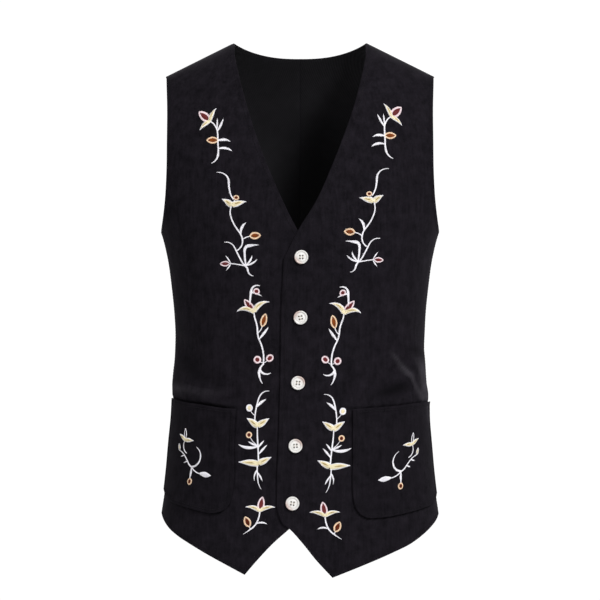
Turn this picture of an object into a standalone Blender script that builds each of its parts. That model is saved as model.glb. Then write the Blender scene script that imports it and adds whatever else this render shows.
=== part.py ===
"""A black suede waistcoat in the shape it has when worn and buttoned.

Metres, +Z up. The front faces -Y and the wearer's left is +X. The origin lies midway
between the two shoulder seams, at the height where the garment is carried.
"""

import math
from collections import namedtuple

import bmesh
import bpy
import numpy as np
from mathutils import Matrix, Vector

# Driving sizes
WALL = 0.0018  # suede of the fronts and the back
POCKET_WALL = 0.0014
SEAM_GAP = 0.0003
POCKET_LIFT = 0.0007  # between a front and the pocket that lies on it
UNDERLAP_DROP = 0.0023  # how far the under front sinks behind the top one
UNDERLAP_EASE = 0.026  # width over which it sinks
UNDERLAP_MARGIN = 0.010  # how far before the top edge it has sunk

NECK_HALF = 0.082  # neck point to centre line
NECK_HEIGHT = 0.021
SHOULDER_HALF = 0.167  # arm point to centre line
SHOULDER_SLOPE = 0.5
SHOULDER_ROUND = 0.095  # height over which the cloth turns over the shoulder
TOP_HALF_WIDTH = 0.197  # half width of the form at the shoulders
FULLNESS = 0.25  # 0 is an ellipse; more fills out the quarters
UNDERARM = -0.215
SIDE_HEM = -0.567
BACK_HEM = -0.558
BACK_NECK_DROP = 0.016
SEAM_TURN = math.pi / 2  # the side seams lie a quarter turn from the centre
MEAN_RADIUS = 0.135  # turns a fold's angle into a distance round the body

BUTTON_ACROSS = 0.0178
BUTTON_HOLE = 0.0019
BUTTON_HOLE_SPACING = 0.0034
BUTTON_LIFT = 0.0003
BUTTON_SIDES = 20
HOLE_SIDES = 8

# How many cells each piece is made of
COLUMNS_TO_POINT = 6
COLUMNS_TO_SIDE = 10
ROWS_BELOW = 17
ROWS_ABOVE = 13
SHOULDER_COLUMNS = 7
BACK_NECK_COLUMNS = 5
POCKET_COLUMNS = 13
POCKET_ROWS = 11

# The form at each height: half width at the side seams, then depth in front and behind
Section = namedtuple("Section", "height half_width front back")
SECTIONS = (
    Section(0.045, 0.1970, 0.055, 0.070),
    Section(0.000, 0.1970, 0.062, 0.078),
    Section(-0.050, 0.1965, 0.075, 0.089),
    Section(-0.100, 0.1952, 0.090, 0.104),
    Section(-0.145, 0.1915, 0.101, 0.111),
    Section(-0.185, 0.1835, 0.108, 0.113),
    Section(-0.202, 0.1780, 0.110, 0.1125),
    Section(-0.215, 0.1725, 0.1105, 0.111),
    Section(-0.245, 0.1645, 0.111, 0.1075),
    Section(-0.285, 0.1587, 0.108, 0.100),
    Section(-0.325, 0.1550, 0.105, 0.0945),
    Section(-0.365, 0.1548, 0.103, 0.092),
    Section(-0.405, 0.1565, 0.104, 0.0965),
    Section(-0.445, 0.1582, 0.1065, 0.104),
    Section(-0.475, 0.1612, 0.109, 0.109),
    Section(-0.515, 0.1648, 0.111, 0.113),
    Section(-0.545, 0.1684, 0.112, 0.116),
    Section(-0.570, 0.1722, 0.1125, 0.117),
    Section(-0.660, 0.1760, 0.113, 0.118),
)

# Soft folds: both ends as degrees round from the centre front and a height, + is the left side
Fold = namedtuple("Fold", "turn_a height_a turn_b height_b width rise")
FOLDS = (
    Fold(44, -0.348, 86, -0.424, 0.0120, 0.0042),
    Fold(34, -0.392, 62, -0.408, 0.0150, -0.0026),
    Fold(60, -0.330, 95, -0.365, 0.0130, -0.0018),
    Fold(-86, -0.345, -48, -0.374, 0.0150, -0.0032),
    Fold(-92, -0.390, -50, -0.406, 0.0130, 0.0026),
    Fold(100, -0.372, 142, -0.352, 0.0150, -0.0034),
    Fold(104, -0.402, 150, -0.384, 0.0140, 0.0028),
    Fold(-106, -0.366, -150, -0.346, 0.0150, -0.0030),
    Fold(-102, -0.396, -140, -0.378, 0.0140, 0.0030),
    Fold(158, -0.330, 206, -0.344, 0.0160, -0.0022),
)

# Edges of the two fronts: distance out from the centre to the own side, and height
TOP_NECKLINE = (
    (-0.0202, -0.2499),
    (-0.0022, -0.2144),
    (0.0202, -0.1777),
    (0.0380, -0.1380),
    (0.0534, -0.0986),
    (0.0670, -0.0587),
    (0.0775, -0.0180),
    (0.0815, 0.0020),
    (NECK_HALF, NECK_HEIGHT),
)
TOP_FRONT_EDGE = (
    (-0.0262, -0.5635),
    (-0.0284, -0.5530),
    (-0.0286, -0.5400),
    (-0.0269, -0.4834),
    (-0.0245, -0.4016),
    (-0.0226, -0.3000),
    (-0.0202, -0.2499),
)
TOP_HEM_TO_POINT = (
    (-0.0262, -0.5635),
    (-0.0212, -0.5735),
    (-0.0134, -0.5796),
    (0.0031, -0.5975),
    (0.0189, -0.6172),
    (0.0397, -0.6397),
)
TOP_HEM_TO_SIDE = (
    (0.0397, -0.6397),
    (0.0703, -0.6278),
    (0.1159, -0.6091),
    (0.1359, -0.6000),
    (0.1498, -0.5910),
    (0.1615, -0.5815),
    (0.1698, -0.5725),
)
UNDER_NECKLINE = (
    (-0.0160, -0.2499),
    (0.0030, -0.2144),
    (0.0214, -0.1777),
    (0.0386, -0.1380),
    (0.0534, -0.0986),
    (0.0659, -0.0587),
    (0.0765, -0.0180),
    (0.0810, 0.0020),
    (NECK_HALF, NECK_HEIGHT),
)
UNDER_FRONT_EDGE = (
    (-0.0080, -0.5590),
    (-0.0100, -0.5480),
    (-0.0105, -0.5300),
    (-0.0125, -0.4000),
    (-0.0155, -0.3000),
    (-0.0160, -0.2499),
)
UNDER_HEM_TO_POINT = (
    (-0.0080, -0.5590),
    (-0.0010, -0.5670),
    (0.0128, -0.5798),
    (0.0336, -0.5982),
    (0.0520, -0.6178),
    (0.0679, -0.6363),
)
UNDER_HEM_TO_SIDE = (
    (0.0679, -0.6363),
    (0.0838, -0.6280),
    (0.1196, -0.6092),
    (0.1359, -0.6000),
    (0.1511, -0.5911),
    (0.1629, -0.5820),
    (0.1705, -0.5720),
)
ARMHOLE = (
    (0.1715, -0.2050),
    (0.1680, -0.1820),
    (0.1655, -0.1450),
    (0.1650, -0.1050),
    (0.1652, -0.0600),
    (SHOULDER_HALF, -0.0215),
)

# Patch pockets: the sewn inner edge, the bottom with its round corner and the open mouth,
# out from the centre and height. The outer edge rises at one turn from corner to mouth.
Pocket = namedtuple("Pocket", "inner bottom mouth corner_height mouth_height gape side_gape")
LEFT_POCKET = Pocket(
    inner=((0.0665, -0.5520), (0.0645, -0.5380), (0.0642, -0.4900), (0.0643, -0.4338)),
    bottom=(
        (0.0665, -0.5520),
        (0.0725, -0.5610),
        (0.0824, -0.5666),
        (0.0949, -0.5668),
        (0.1294, -0.5618),
        (0.1504, -0.5567),
        (0.1610, -0.5530),
        (0.1657, -0.5485),
    ),
    mouth=((0.0643, -0.4338), (0.0894, -0.4321), (0.1181, -0.4301), (0.1415, -0.4276)),
    corner_height=-0.5410,
    mouth_height=-0.4265,
    gape=0.0020,
    side_gape=0.0020,
)
RIGHT_POCKET = Pocket(
    inner=((0.0850, -0.5465), (0.0822, -0.5340), (0.0806, -0.4800), (0.0785, -0.4335)),
    bottom=(
        (0.0850, -0.5465),
        (0.0890, -0.5538),
        (0.0957, -0.5588),
        (0.1036, -0.5610),
        (0.1289, -0.5576),
        (0.1461, -0.5533),
        (0.1590, -0.5487),
        (0.1645, -0.5435),
    ),
    mouth=((0.0785, -0.4335), (0.0901, -0.4329), (0.1237, -0.4283), (0.1406, -0.4262)),
    corner_height=-0.5360,
    mouth_height=-0.4220,
    gape=0.0032,
    side_gape=0.0008,
)
POCKET_OUTER_TURN = math.radians(84)
GAPE_DEPTH = 0.055  # how far below its mouth a pocket still stands away

# Button centres on the top front
BUTTONS = (
    (0.0016, -0.2474),
    (0.0006, -0.3214),
    (-0.0024, -0.4016),
    (-0.0055, -0.4785),
    (-0.0092, -0.5487),
)
# Half a button's section, from the middle of its back round to the middle of its face
BUTTON_PROFILE = (
    (0.0, 0.0),
    (0.84, 0.0),
    (1.0, 0.0010),
    (1.0, 0.0019),
    (0.93, 0.0028),
    (0.83, 0.0029),
    (0.72, 0.0021),
    (0.0, 0.0023),
)
BLACK_SUEDE = (0.011, 0.010, 0.013)
IVORY = (0.80, 0.75, 0.66)


def smooth_through(keys, values, at):
    """Cubic through the values at rising keys, read at other keys."""
    slopes = np.gradient(values, keys, axis=0)
    at = np.clip(at, keys[0], keys[-1])
    index = np.clip(np.searchsorted(keys, at) - 1, 0, len(keys) - 2)
    step = keys[index + 1] - keys[index]
    share = (at - keys[index]) / step
    if values.ndim > 1:
        step = step[:, None]
        share = share[:, None]
    bend = share * share * (3 - 2 * share)
    start = values[index] + slopes[index] * step * share * (1 - share) ** 2
    end = (values[index + 1] - values[index]) * bend
    return start + end - slopes[index + 1] * step * share * share * (1 - share)


def section(column, height):
    """One size of the form, such as half_width, at the heights given."""
    keys = np.array([row.height for row in reversed(SECTIONS)])
    values = np.array([getattr(row, column) for row in reversed(SECTIONS)])
    return smooth_through(keys, values, height)


def ridge(out):
    """Height of the line along the top of the shoulders, rising in a curve at the neck."""
    out = np.abs(out)
    inside = NECK_HEIGHT + 0.5 * SHOULDER_SLOPE * NECK_HALF * (1 - (out / NECK_HALF) ** 2)
    return np.where(out < NECK_HALF, inside, NECK_HEIGHT - SHOULDER_SLOPE * (out - NECK_HALF))


def onto_form(out, height):
    """(turn, down) of points given by their distance from the centre and their height."""
    turn = np.arcsin(np.clip(out / section("half_width", height), -1, 1))
    drop = np.maximum(ridge(TOP_HALF_WIDTH * np.sin(turn)) - height, 0)
    curved = SHOULDER_ROUND * np.arccos(np.clip(1 - drop / SHOULDER_ROUND, 0, 1))
    down = np.where(drop < SHOULDER_ROUND, curved, drop + SHOULDER_ROUND * (math.pi / 2 - 1))
    return np.stack([turn, down], axis=-1)


def bare_form(cut, facing):
    """Points of the body's form; facing is -1 in front and 1 behind."""
    turn, down = cut[..., 0], cut[..., 1]
    arc = np.minimum(down / SHOULDER_ROUND, math.pi / 2)
    straight = np.maximum(down - SHOULDER_ROUND * math.pi / 2, 0)
    height = ridge(TOP_HALF_WIDTH * np.sin(turn)) - SHOULDER_ROUND * (1 - np.cos(arc)) - straight
    depth = section("front" if facing < 0 else "back", height)
    full = 1 + FULLNESS * np.sin(turn) ** 2
    away = facing * depth * np.cos(turn) * full * np.sin(arc)
    return np.stack([section("half_width", height) * np.sin(turn), away, height], axis=-1)


def outward(cut, facing):
    """Unit normals of the form, pointing away from the body."""
    small = np.array([1e-4, 0.0]), np.array([0.0, 1e-4])
    across = bare_form(cut + small[0], facing) - bare_form(cut - small[0], facing)
    along = bare_form(cut + small[1], facing) - bare_form(cut - small[1], facing)
    normal = np.cross(across, along) * facing
    return normal / np.linalg.norm(normal, axis=-1, keepdims=True)


def fold_rise(cut, height, facing):
    """How far the folds lift the cloth. Each is a soft ridge or trough along a line."""
    around = np.degrees(cut[..., 0])
    if facing > 0:
        around = np.where(around >= 0, 180 - around, -180 - around)
    total = np.zeros_like(around)
    for fold in FOLDS:
        start = np.array([math.radians(fold.turn_a) * MEAN_RADIUS, fold.height_a])
        along = np.array([math.radians(fold.turn_b) * MEAN_RADIUS, fold.height_b]) - start
        for lap in (-360, 0, 360):
            here = np.stack([np.radians(around + lap) * MEAN_RADIUS, height], axis=-1) - start
            share = np.clip(here @ along / (along @ along), 0, 1)
            away = np.linalg.norm(here - share[..., None] * along, axis=-1)
            fade = np.sin(math.pi * (0.08 + 0.84 * share))
            total += fold.rise * fade * np.exp(-((away / fold.width) ** 2))
    return total


def cloth(cut, facing, lift=0.0):
    """Points of the cloth's outer face, folds included, raised by lift and clear of the seams."""
    points = bare_form(cut, facing)
    rise = fold_rise(cut, points[..., 2], facing) + lift
    points = points + outward(cut, facing) * np.asarray(rise)[..., None]
    points[..., 1] += facing * SEAM_GAP / 2
    return points


def edge(points, steps, facing=-1, side=1, height_share=0.0):
    """The (turn, down) of an edge through the points, cut into steps of even length.

    height_share spaces the steps partly by height, where an edge runs level at first.
    """
    points = np.array(points)
    keys = np.concatenate([[0], np.cumsum(np.linalg.norm(np.diff(points, axis=0), axis=1))])
    fine = smooth_through(keys, points, np.linspace(0, keys[-1], 40 * steps + 1))
    cut = onto_form(fine[:, 0], fine[:, 1])
    real = bare_form(cut, facing)
    moves = np.diff(real, axis=0)
    lengths = np.linalg.norm(moves, axis=1)
    rises = np.abs(moves[:, 2])
    even = (1 - height_share) * lengths / lengths.sum() + height_share * rises / rises.sum()
    reached = np.concatenate([[0], np.cumsum(even)])
    places = np.interp(np.linspace(0, 1, steps + 1), reached, np.arange(len(fine)))
    found = np.stack([np.interp(places, np.arange(len(fine)), cut[:, k]) for k in (0, 1)], axis=-1)
    return found * [side, 1]


def join_edges(*edges):
    """One edge from several that meet end to end."""
    return np.concatenate([edges[0]] + [piece[1:] for piece in edges[1:]])


def upright_edge(low, high, steps, side, turn=SEAM_TURN):
    """An edge that rises at one turn, such as the side seam."""
    height = np.linspace(low, high, steps + 1)
    cut = onto_form(section("half_width", height) * math.sin(turn), height)
    return cut * [side, 1]


def at_turn(turn, height):
    """The point of an edge where it meets the turn at the height."""
    return (float(section("half_width", np.array([height]))[0]) * math.sin(turn), height)


def side_edge(steps, side):
    """The side seam from the hem up to the underarm."""
    return upright_edge(SIDE_HEM, UNDERARM, steps, side)


def armhole_edge(steps, side):
    return edge((at_turn(SEAM_TURN, UNDERARM),) + ARMHOLE, steps, side=side, height_share=0.4)


def back_centre_edge(side):
    """The centre back seam from the hem up to the neck."""
    beside = SEAM_GAP / 2
    middle = NECK_HEIGHT - BACK_NECK_DROP
    return join_edges(
        edge(((beside, BACK_HEM), (beside, UNDERARM)), ROWS_BELOW, facing=1, side=side),
        edge(((beside, UNDERARM), (beside, middle)), ROWS_ABOVE, facing=1, side=side),
    )


def back_neck_edge(steps, side):
    """The back neck from its middle to the neck point."""
    out = np.linspace(SEAM_GAP / 2, NECK_HALF, 9)
    height = NECK_HEIGHT - BACK_NECK_DROP * (1 - (out / NECK_HALF) ** 2.5)
    return edge(np.stack([out, height], axis=-1), steps, facing=1, side=side)


def shoulder_edge(steps, side):
    """The shoulder seam from the neck point to the arm point, along the ridge."""
    out = np.linspace(NECK_HALF, SHOULDER_HALF, steps + 1)
    return np.stack([np.arcsin(out / TOP_HALF_WIDTH) * side, np.zeros(steps + 1)], axis=-1)


def patch(left, right, bottom, top):
    """Grid of (turn, down) that fills four edges, which meet at their ends."""
    left, right = left.copy(), right.copy()
    left[0], left[-1] = bottom[0], top[0]
    right[0], right[-1] = bottom[-1], top[-1]
    across = np.linspace(0, 1, len(bottom))[None, :, None]
    up = np.linspace(0, 1, len(left))[:, None, None]
    from_sides = (1 - across) * left[:, None] + across * right[:, None]
    from_ends = (1 - up) * bottom[None] + up * top[None]
    low = (1 - across) * bottom[0] + across * bottom[-1]
    high = (1 - across) * top[0] + across * top[-1]
    return from_sides + from_ends - (1 - up) * low - up * high


def wall_object(name, outer, inner, material):
    """A closed wall between an outer and an inner grid of points."""
    rows, columns = outer.shape[:2]
    mesh = bmesh.new()
    faces_of = []
    for grid in (outer, inner):
        faces_of.append([[mesh.verts.new(point) for point in row] for row in grid])
    for verts in faces_of:
        for i in range(rows - 1):
            for j in range(columns - 1):
                mesh.faces.new((verts[i][j], verts[i][j + 1], verts[i + 1][j + 1], verts[i + 1][j]))
    around = [(0, j) for j in range(columns)]
    around += [(i, columns - 1) for i in range(1, rows)]
    around += [(rows - 1, j) for j in range(columns - 2, -1, -1)]
    around += [(i, 0) for i in range(rows - 2, 0, -1)]
    for (i, j), (k, m) in zip(around, around[1:] + around[:1]):
        mesh.faces.new((faces_of[0][i][j], faces_of[0][k][m], faces_of[1][k][m], faces_of[1][i][j]))
    bmesh.ops.recalc_face_normals(mesh, faces=mesh.faces)
    data = bpy.data.meshes.new(name)
    mesh.to_mesh(data)
    mesh.free()
    data.materials.append(material)
    data.shade_smooth()
    data.set_sharp_from_angle(angle=math.radians(40))
    made = bpy.data.objects.new(name, data)
    bpy.context.scene.collection.objects.link(made)
    return made


def material_of(name, colour, roughness):
    made = bpy.data.materials.new(name)
    made.use_nodes = True
    shader = made.node_tree.nodes["Principled BSDF"]
    shader.inputs["Base Color"].default_value = (*colour, 1.0)
    shader.inputs["Roughness"].default_value = roughness
    shader.inputs["Metallic"].default_value = 0.0
    return made


def underlap(cut):
    """How far the under front sinks where the top front lies on it."""
    points = bare_form(cut, -1)
    heights = np.array([row[1] for row in TOP_FRONT_EDGE] + [row[1] for row in TOP_NECKLINE[1:]])
    outs = np.array([row[0] for row in TOP_FRONT_EDGE] + [row[0] for row in TOP_NECKLINE[1:]])
    top_edge = np.interp(points[..., 2], heights, outs)
    reach = points[..., 0] - top_edge + UNDERLAP_MARGIN + UNDERLAP_EASE
    share = np.clip(reach / UNDERLAP_EASE, 0, 1)
    return -UNDERLAP_DROP * share * share * (3 - 2 * share)


def make_front(name, side, neckline, front_edge, hem_to_point, hem_to_side, sunk, material):
    seam_foot = (at_turn(SEAM_TURN, SIDE_HEM),)
    inner = join_edges(
        edge(front_edge, ROWS_BELOW, side=side), edge(neckline, ROWS_ABOVE, side=side)
    )
    outer = join_edges(side_edge(ROWS_BELOW, side), armhole_edge(ROWS_ABOVE, side))
    hem = join_edges(
        edge(hem_to_point, COLUMNS_TO_POINT, side=side),
        edge(hem_to_side + seam_foot, COLUMNS_TO_SIDE, side=side),
    )
    shoulder = shoulder_edge(COLUMNS_TO_POINT + COLUMNS_TO_SIDE, side)
    cut = patch(inner, outer, hem, shoulder)
    drop = underlap(cut) if sunk else 0.0
    return wall_object(name, cloth(cut, -1, drop), cloth(cut, -1, drop - WALL), material)


def make_back(name, side, material):
    """One half of the back, from the centre back seam to the side seam."""
    outer = join_edges(side_edge(ROWS_BELOW, side), armhole_edge(ROWS_ABOVE, side))
    columns = SHOULDER_COLUMNS + BACK_NECK_COLUMNS
    out = np.linspace(SEAM_GAP / 2, at_turn(SEAM_TURN, SIDE_HEM)[0], 9)
    hem_height = BACK_HEM + (SIDE_HEM - BACK_HEM) * (out / out[-1]) ** 4
    hem = edge(np.stack([out, hem_height], axis=-1), columns, facing=1, side=side)
    top = join_edges(back_neck_edge(BACK_NECK_COLUMNS, side), shoulder_edge(SHOULDER_COLUMNS, side))
    cut = patch(back_centre_edge(side), outer, hem, top)
    return wall_object(name, cloth(cut, 1), cloth(cut, 1, -WALL), material)


def make_pocket(name, side, pocket, material):
    """A patch pocket moved out from the front it is sewn to, its mouth standing open a little."""
    inner = edge(pocket.inner, POCKET_ROWS, side=side)
    low, high = pocket.corner_height, pocket.mouth_height
    outer = upright_edge(low, high, POCKET_ROWS, side, POCKET_OUTER_TURN)
    bottom = edge(pocket.bottom + (at_turn(POCKET_OUTER_TURN, low),), POCKET_COLUMNS, side=side)
    mouth = edge(pocket.mouth + (at_turn(POCKET_OUTER_TURN, high),), POCKET_COLUMNS, side=side)
    cut = patch(inner, outer, bottom, mouth)
    across = np.linspace(0, 1, POCKET_COLUMNS + 1)[None, :]
    below_mouth = cut[-1:, :, 1] - cut[..., 1]
    near_mouth = np.clip(1 + below_mouth / GAPE_DEPTH, 0, 1) ** 2
    opened = pocket.gape * np.sin(math.pi * across) + pocket.side_gape * across**3
    lift = POCKET_LIFT + opened * near_mouth
    return wall_object(name, cloth(cut, -1, lift + POCKET_WALL), cloth(cut, -1, lift), material)


def turned_disc(name):
    """A button without its holes: the profile turned round the Z axis."""
    mesh = bmesh.new()
    radius = BUTTON_ACROSS / 2
    rings = []
    for share, height in BUTTON_PROFILE:
        if share == 0:
            rings.append([mesh.verts.new((0, 0, height))])
            continue
        angles = [2 * math.pi * k / BUTTON_SIDES for k in range(BUTTON_SIDES)]
        ring = [(math.cos(a) * share * radius, math.sin(a) * share * radius, height) for a in angles]
        rings.append([mesh.verts.new(point) for point in ring])
    for low, high in zip(rings, rings[1:]):
        for k in range(BUTTON_SIDES):
            after = (k + 1) % BUTTON_SIDES
            corners = [low[k % len(low)], low[after % len(low)], high[after % len(high)], high[k % len(high)]]
            mesh.faces.new(list(dict.fromkeys(corners)))
    bmesh.ops.recalc_face_normals(mesh, faces=mesh.faces)
    data = bpy.data.meshes.new(name)
    mesh.to_mesh(data)
    mesh.free()
    return bpy.data.objects.new(name, data)


def hole_cutter(name, x, y):
    mesh = bmesh.new()
    bmesh.ops.create_cone(
        mesh,
        cap_ends=True,
        segments=HOLE_SIDES,
        radius1=BUTTON_HOLE / 2,
        radius2=BUTTON_HOLE / 2,
        depth=0.02,
        matrix=Matrix.Translation((x, y, 0)),
    )
    data = bpy.data.meshes.new(name)
    mesh.to_mesh(data)
    mesh.free()
    return bpy.data.objects.new(name, data)


def button_mesh(material):
    """A four-hole button with a raised rim, its back on the plane z = 0."""
    disc = turned_disc("button")
    bpy.context.scene.collection.objects.link(disc)
    helpers = [disc]
    for x in (-0.5, 0.5):
        for y in (-0.5, 0.5):
            cutter = hole_cutter("hole", x * BUTTON_HOLE_SPACING, y * BUTTON_HOLE_SPACING)
            bpy.context.scene.collection.objects.link(cutter)
            cut = disc.modifiers.new("hole", "BOOLEAN")
            cut.operation = "DIFFERENCE"
            cut.object = cutter
            helpers.append(cutter)
    bpy.context.view_layer.update()
    evaluated = disc.evaluated_get(bpy.context.evaluated_depsgraph_get())
    data = bpy.data.meshes.new_from_object(evaluated)
    for helper in helpers:
        bpy.data.objects.remove(helper)
    data.name = "button"
    data.materials.clear()
    data.materials.append(material)
    data.shade_smooth()
    data.set_sharp_from_angle(angle=math.radians(35))
    return data


def make_buttons(material):
    """Five buttons down the front, each flat on the top front where it is sewn."""
    data = button_mesh(material)
    for number, (x, height) in enumerate(BUTTONS, start=1):
        cut = onto_form(np.array([x]), np.array([height]))
        centre = Vector(cloth(cut, -1, BUTTON_LIFT)[0])
        face = Vector(outward(cut, -1)[0])
        across = Vector((1, 0, 0)) - face * face.x
        across.normalize()
        turned = Matrix((across, face.cross(across), face)).transposed().to_4x4()
        button = bpy.data.objects.new(f"button_{number}", data)
        button.matrix_world = Matrix.Translation(centre) @ turned
        bpy.context.scene.collection.objects.link(button)


def main():
    for old in list(bpy.data.objects):
        bpy.data.objects.remove(old)
    make_front(
        "front_left",
        1,
        TOP_NECKLINE,
        TOP_FRONT_EDGE,
        TOP_HEM_TO_POINT,
        TOP_HEM_TO_SIDE,
        sunk=False,
        material=material_of("front_left_suede", BLACK_SUEDE, 0.95),
    )
    make_front(
        "front_right",
        -1,
        UNDER_NECKLINE,
        UNDER_FRONT_EDGE,
        UNDER_HEM_TO_POINT,
        UNDER_HEM_TO_SIDE,
        sunk=True,
        material=material_of("front_right_suede", BLACK_SUEDE, 0.95),
    )
    make_back("back_left", 1, material_of("back_left_suede", BLACK_SUEDE, 0.95))
    make_back("back_right", -1, material_of("back_right_suede", BLACK_SUEDE, 0.95))
    make_pocket("pocket_left", 1, LEFT_POCKET, material_of("pocket_left_suede", BLACK_SUEDE, 0.95))
    make_pocket("pocket_right", -1, RIGHT_POCKET, material_of("pocket_right_suede", BLACK_SUEDE, 0.95))
    make_buttons(material_of("ivory_button", IVORY, 0.35))


main()
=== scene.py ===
# Black suede waistcoat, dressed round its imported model: thin suede panels with turned edges,
# patch pockets, ivory buttons and satin stitch embroidery. Metres, +Z up, the front faces -Y.
import math

import bmesh
import bpy
import numpy as np
from mathutils import Matrix, Vector
from mathutils.bvhtree import BVHTree


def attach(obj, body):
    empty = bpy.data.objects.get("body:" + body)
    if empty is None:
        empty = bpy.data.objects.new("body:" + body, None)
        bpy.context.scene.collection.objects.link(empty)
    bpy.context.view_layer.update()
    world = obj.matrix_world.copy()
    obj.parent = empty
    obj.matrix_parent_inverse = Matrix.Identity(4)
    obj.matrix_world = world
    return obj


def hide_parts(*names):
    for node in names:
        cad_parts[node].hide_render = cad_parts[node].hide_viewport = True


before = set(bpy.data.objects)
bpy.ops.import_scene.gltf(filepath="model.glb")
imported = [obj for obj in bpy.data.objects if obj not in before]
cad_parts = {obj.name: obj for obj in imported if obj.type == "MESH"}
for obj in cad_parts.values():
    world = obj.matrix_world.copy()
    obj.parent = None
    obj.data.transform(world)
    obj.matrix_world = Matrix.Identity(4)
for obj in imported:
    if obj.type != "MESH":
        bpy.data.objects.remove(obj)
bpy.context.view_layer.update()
dice = np.random.default_rng(11)
print("frame loaded:", ", ".join(sorted(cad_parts)))

# The body's form, in the same sizes as the solids
form = {
    "neckHalf": 0.082,
    "neckHeight": 0.021,
    "shoulderHalf": 0.167,
    "shoulderSlope": 0.5,
    "shoulderRound": 0.095,
    "topHalfWidth": 0.197,
    "fullness": 0.25,
    "underarm": -0.215,
    "sideHem": -0.567,
    "backHem": -0.558,
    "backNeckDrop": 0.016,
    "meanRadius": 0.135,
    "seamGap": -0.0006,  # sewn seams meet with no gap
    "ease": 0.0012,
    "edgeFineness": 24,  # points tried for each step of a pattern edge
    "foldEnds": 0.08,  # how far short of nothing a fold fades at its ends
    # height, half width, depth in front, depth behind
    "sections": (
        (0.045, 0.1970, 0.055, 0.070), (0.000, 0.1970, 0.062, 0.078), (-0.050, 0.1965, 0.075, 0.089),
        (-0.100, 0.1952, 0.090, 0.104), (-0.145, 0.1915, 0.101, 0.111), (-0.185, 0.1835, 0.108, 0.113),
        (-0.202, 0.1780, 0.110, 0.1125), (-0.215, 0.1725, 0.1105, 0.111), (-0.245, 0.1645, 0.111, 0.1075),
        (-0.285, 0.1587, 0.108, 0.100), (-0.325, 0.1550, 0.105, 0.0945), (-0.365, 0.1548, 0.103, 0.092),
        (-0.405, 0.1565, 0.104, 0.0965), (-0.445, 0.1582, 0.1065, 0.104), (-0.475, 0.1612, 0.109, 0.109),
        (-0.515, 0.1648, 0.111, 0.113), (-0.545, 0.1684, 0.112, 0.116), (-0.570, 0.1722, 0.1125, 0.117),
        (-0.660, 0.1760, 0.113, 0.118),
    ),
    # folds: degrees round from the centre front and height at both ends, width, rise
    "folds": (
        (44, -0.348, 86, -0.424, 0.0120, 0.0042), (34, -0.392, 62, -0.408, 0.0150, -0.0026),
        (60, -0.330, 95, -0.365, 0.0130, -0.0018), (-86, -0.345, -48, -0.374, 0.0150, -0.0032),
        (-92, -0.390, -50, -0.406, 0.0130, 0.0026), (100, -0.372, 142, -0.352, 0.0150, -0.0034),
        (104, -0.402, 150, -0.384, 0.0140, 0.0028), (-106, -0.366, -150, -0.346, 0.0150, -0.0030),
        (-102, -0.396, -140, -0.378, 0.0140, 0.0030), (158, -0.330, 206, -0.344, 0.0160, -0.0022),
    ),
    # small creases that only the cloth has
    "creases": (
        (46, -0.366, 61, -0.396, 0.0045, 0.0020), (60, -0.394, 72, -0.428, 0.0060, 0.0024),
        (36, -0.415, 60, -0.405, 0.0080, -0.0026), (-78, -0.366, -46, -0.388, 0.0090, -0.0024),
        (-86, -0.404, -50, -0.410, 0.0080, 0.0018), (40, -0.372, 58, -0.384, 0.0060, -0.0009),
        (64, -0.402, 88, -0.436, 0.0060, -0.0010), (-84, -0.362, -62, -0.372, 0.0055, 0.0009),
        (-78, -0.384, -46, -0.392, 0.0060, -0.0009), (-60, -0.412, -84, -0.420, 0.0060, -0.0008),
        (58, -0.205, 76, -0.268, 0.0090, -0.0009), (-58, -0.205, -76, -0.262, 0.0090, -0.0009),
        (22, -0.270, 30, -0.340, 0.0100, -0.0006), (-26, -0.262, -32, -0.330, 0.0100, -0.0006),
        (112, -0.385, 138, -0.367, 0.0060, -0.0010), (-112, -0.380, -136, -0.362, 0.0060, -0.0010),
        (150, -0.130, 132, -0.190, 0.0120, -0.0010), (-150, -0.135, -134, -0.188, 0.0120, -0.0010),
    ),
}
# painted highlights, as sheen on the fold crests, and painted shade in the hollows: as above, then width and
# strength
paintedLightMarks = (
    (45, -0.364, 53, -0.382, 0.0026, 0.36), (51, -0.380, 61, -0.395, 0.0032, 0.58),
    (60, -0.394, 65, -0.411, 0.0036, 0.60), (65, -0.409, 73, -0.428, 0.0044, 0.55),
    (66, -0.376, 77, -0.424, 0.0055, 0.40), (70, -0.380, 96, -0.396, 0.0110, 0.50),
    (73, -0.398, 88, -0.424, 0.0125, 0.56), (76, -0.424, 83, -0.462, 0.0095, 0.78),
    (34, -0.417, 61, -0.404, 0.0075, -1.00), (50, -0.359, 80, -0.364, 0.0045, -0.70),
    (-84, -0.409, -56, -0.411, 0.0070, 0.28), (-60, -0.411, -36, -0.414, 0.0060, 0.14),
    (-72, -0.375, -44, -0.399, 0.0095, -0.72), (108, -0.382, 142, -0.361, 0.0065, 0.12),
    (-108, -0.378, -142, -0.357, 0.0065, 0.10), (150, -0.398, 116, -0.410, 0.0070, -0.50),
    (-146, -0.390, -118, -0.402, 0.0070, -0.50), (158, -0.340, 202, -0.352, 0.0070, -0.40),
)
quarterTurn = math.pi / 2


def eased(share):
    return share * share * (3 - 2 * share)


def unit(vectors):
    return vectors / np.linalg.norm(vectors, axis=-1, keepdims=True)


def runAlong(points):
    # how far along the line each of its points lies
    return np.concatenate([[0], np.cumsum(np.linalg.norm(np.diff(points, axis=0), axis=1))])


def smoothThrough(keys, values, at):
    # a smooth curve through the values that stand at the keys
    slopes = np.gradient(values, keys, axis=0)
    at = np.clip(at, keys[0], keys[-1])
    index = np.clip(np.searchsorted(keys, at) - 1, 0, len(keys) - 2)
    step = keys[index + 1] - keys[index]
    share = (at - keys[index]) / step
    if values.ndim > 1:
        step = step[:, None]
        share = share[:, None]
    start = values[index] + slopes[index] * step * share * (1 - share) ** 2
    end = (values[index + 1] - values[index]) * eased(share)
    return start + end - slopes[index + 1] * step * share * share * (1 - share)


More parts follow.
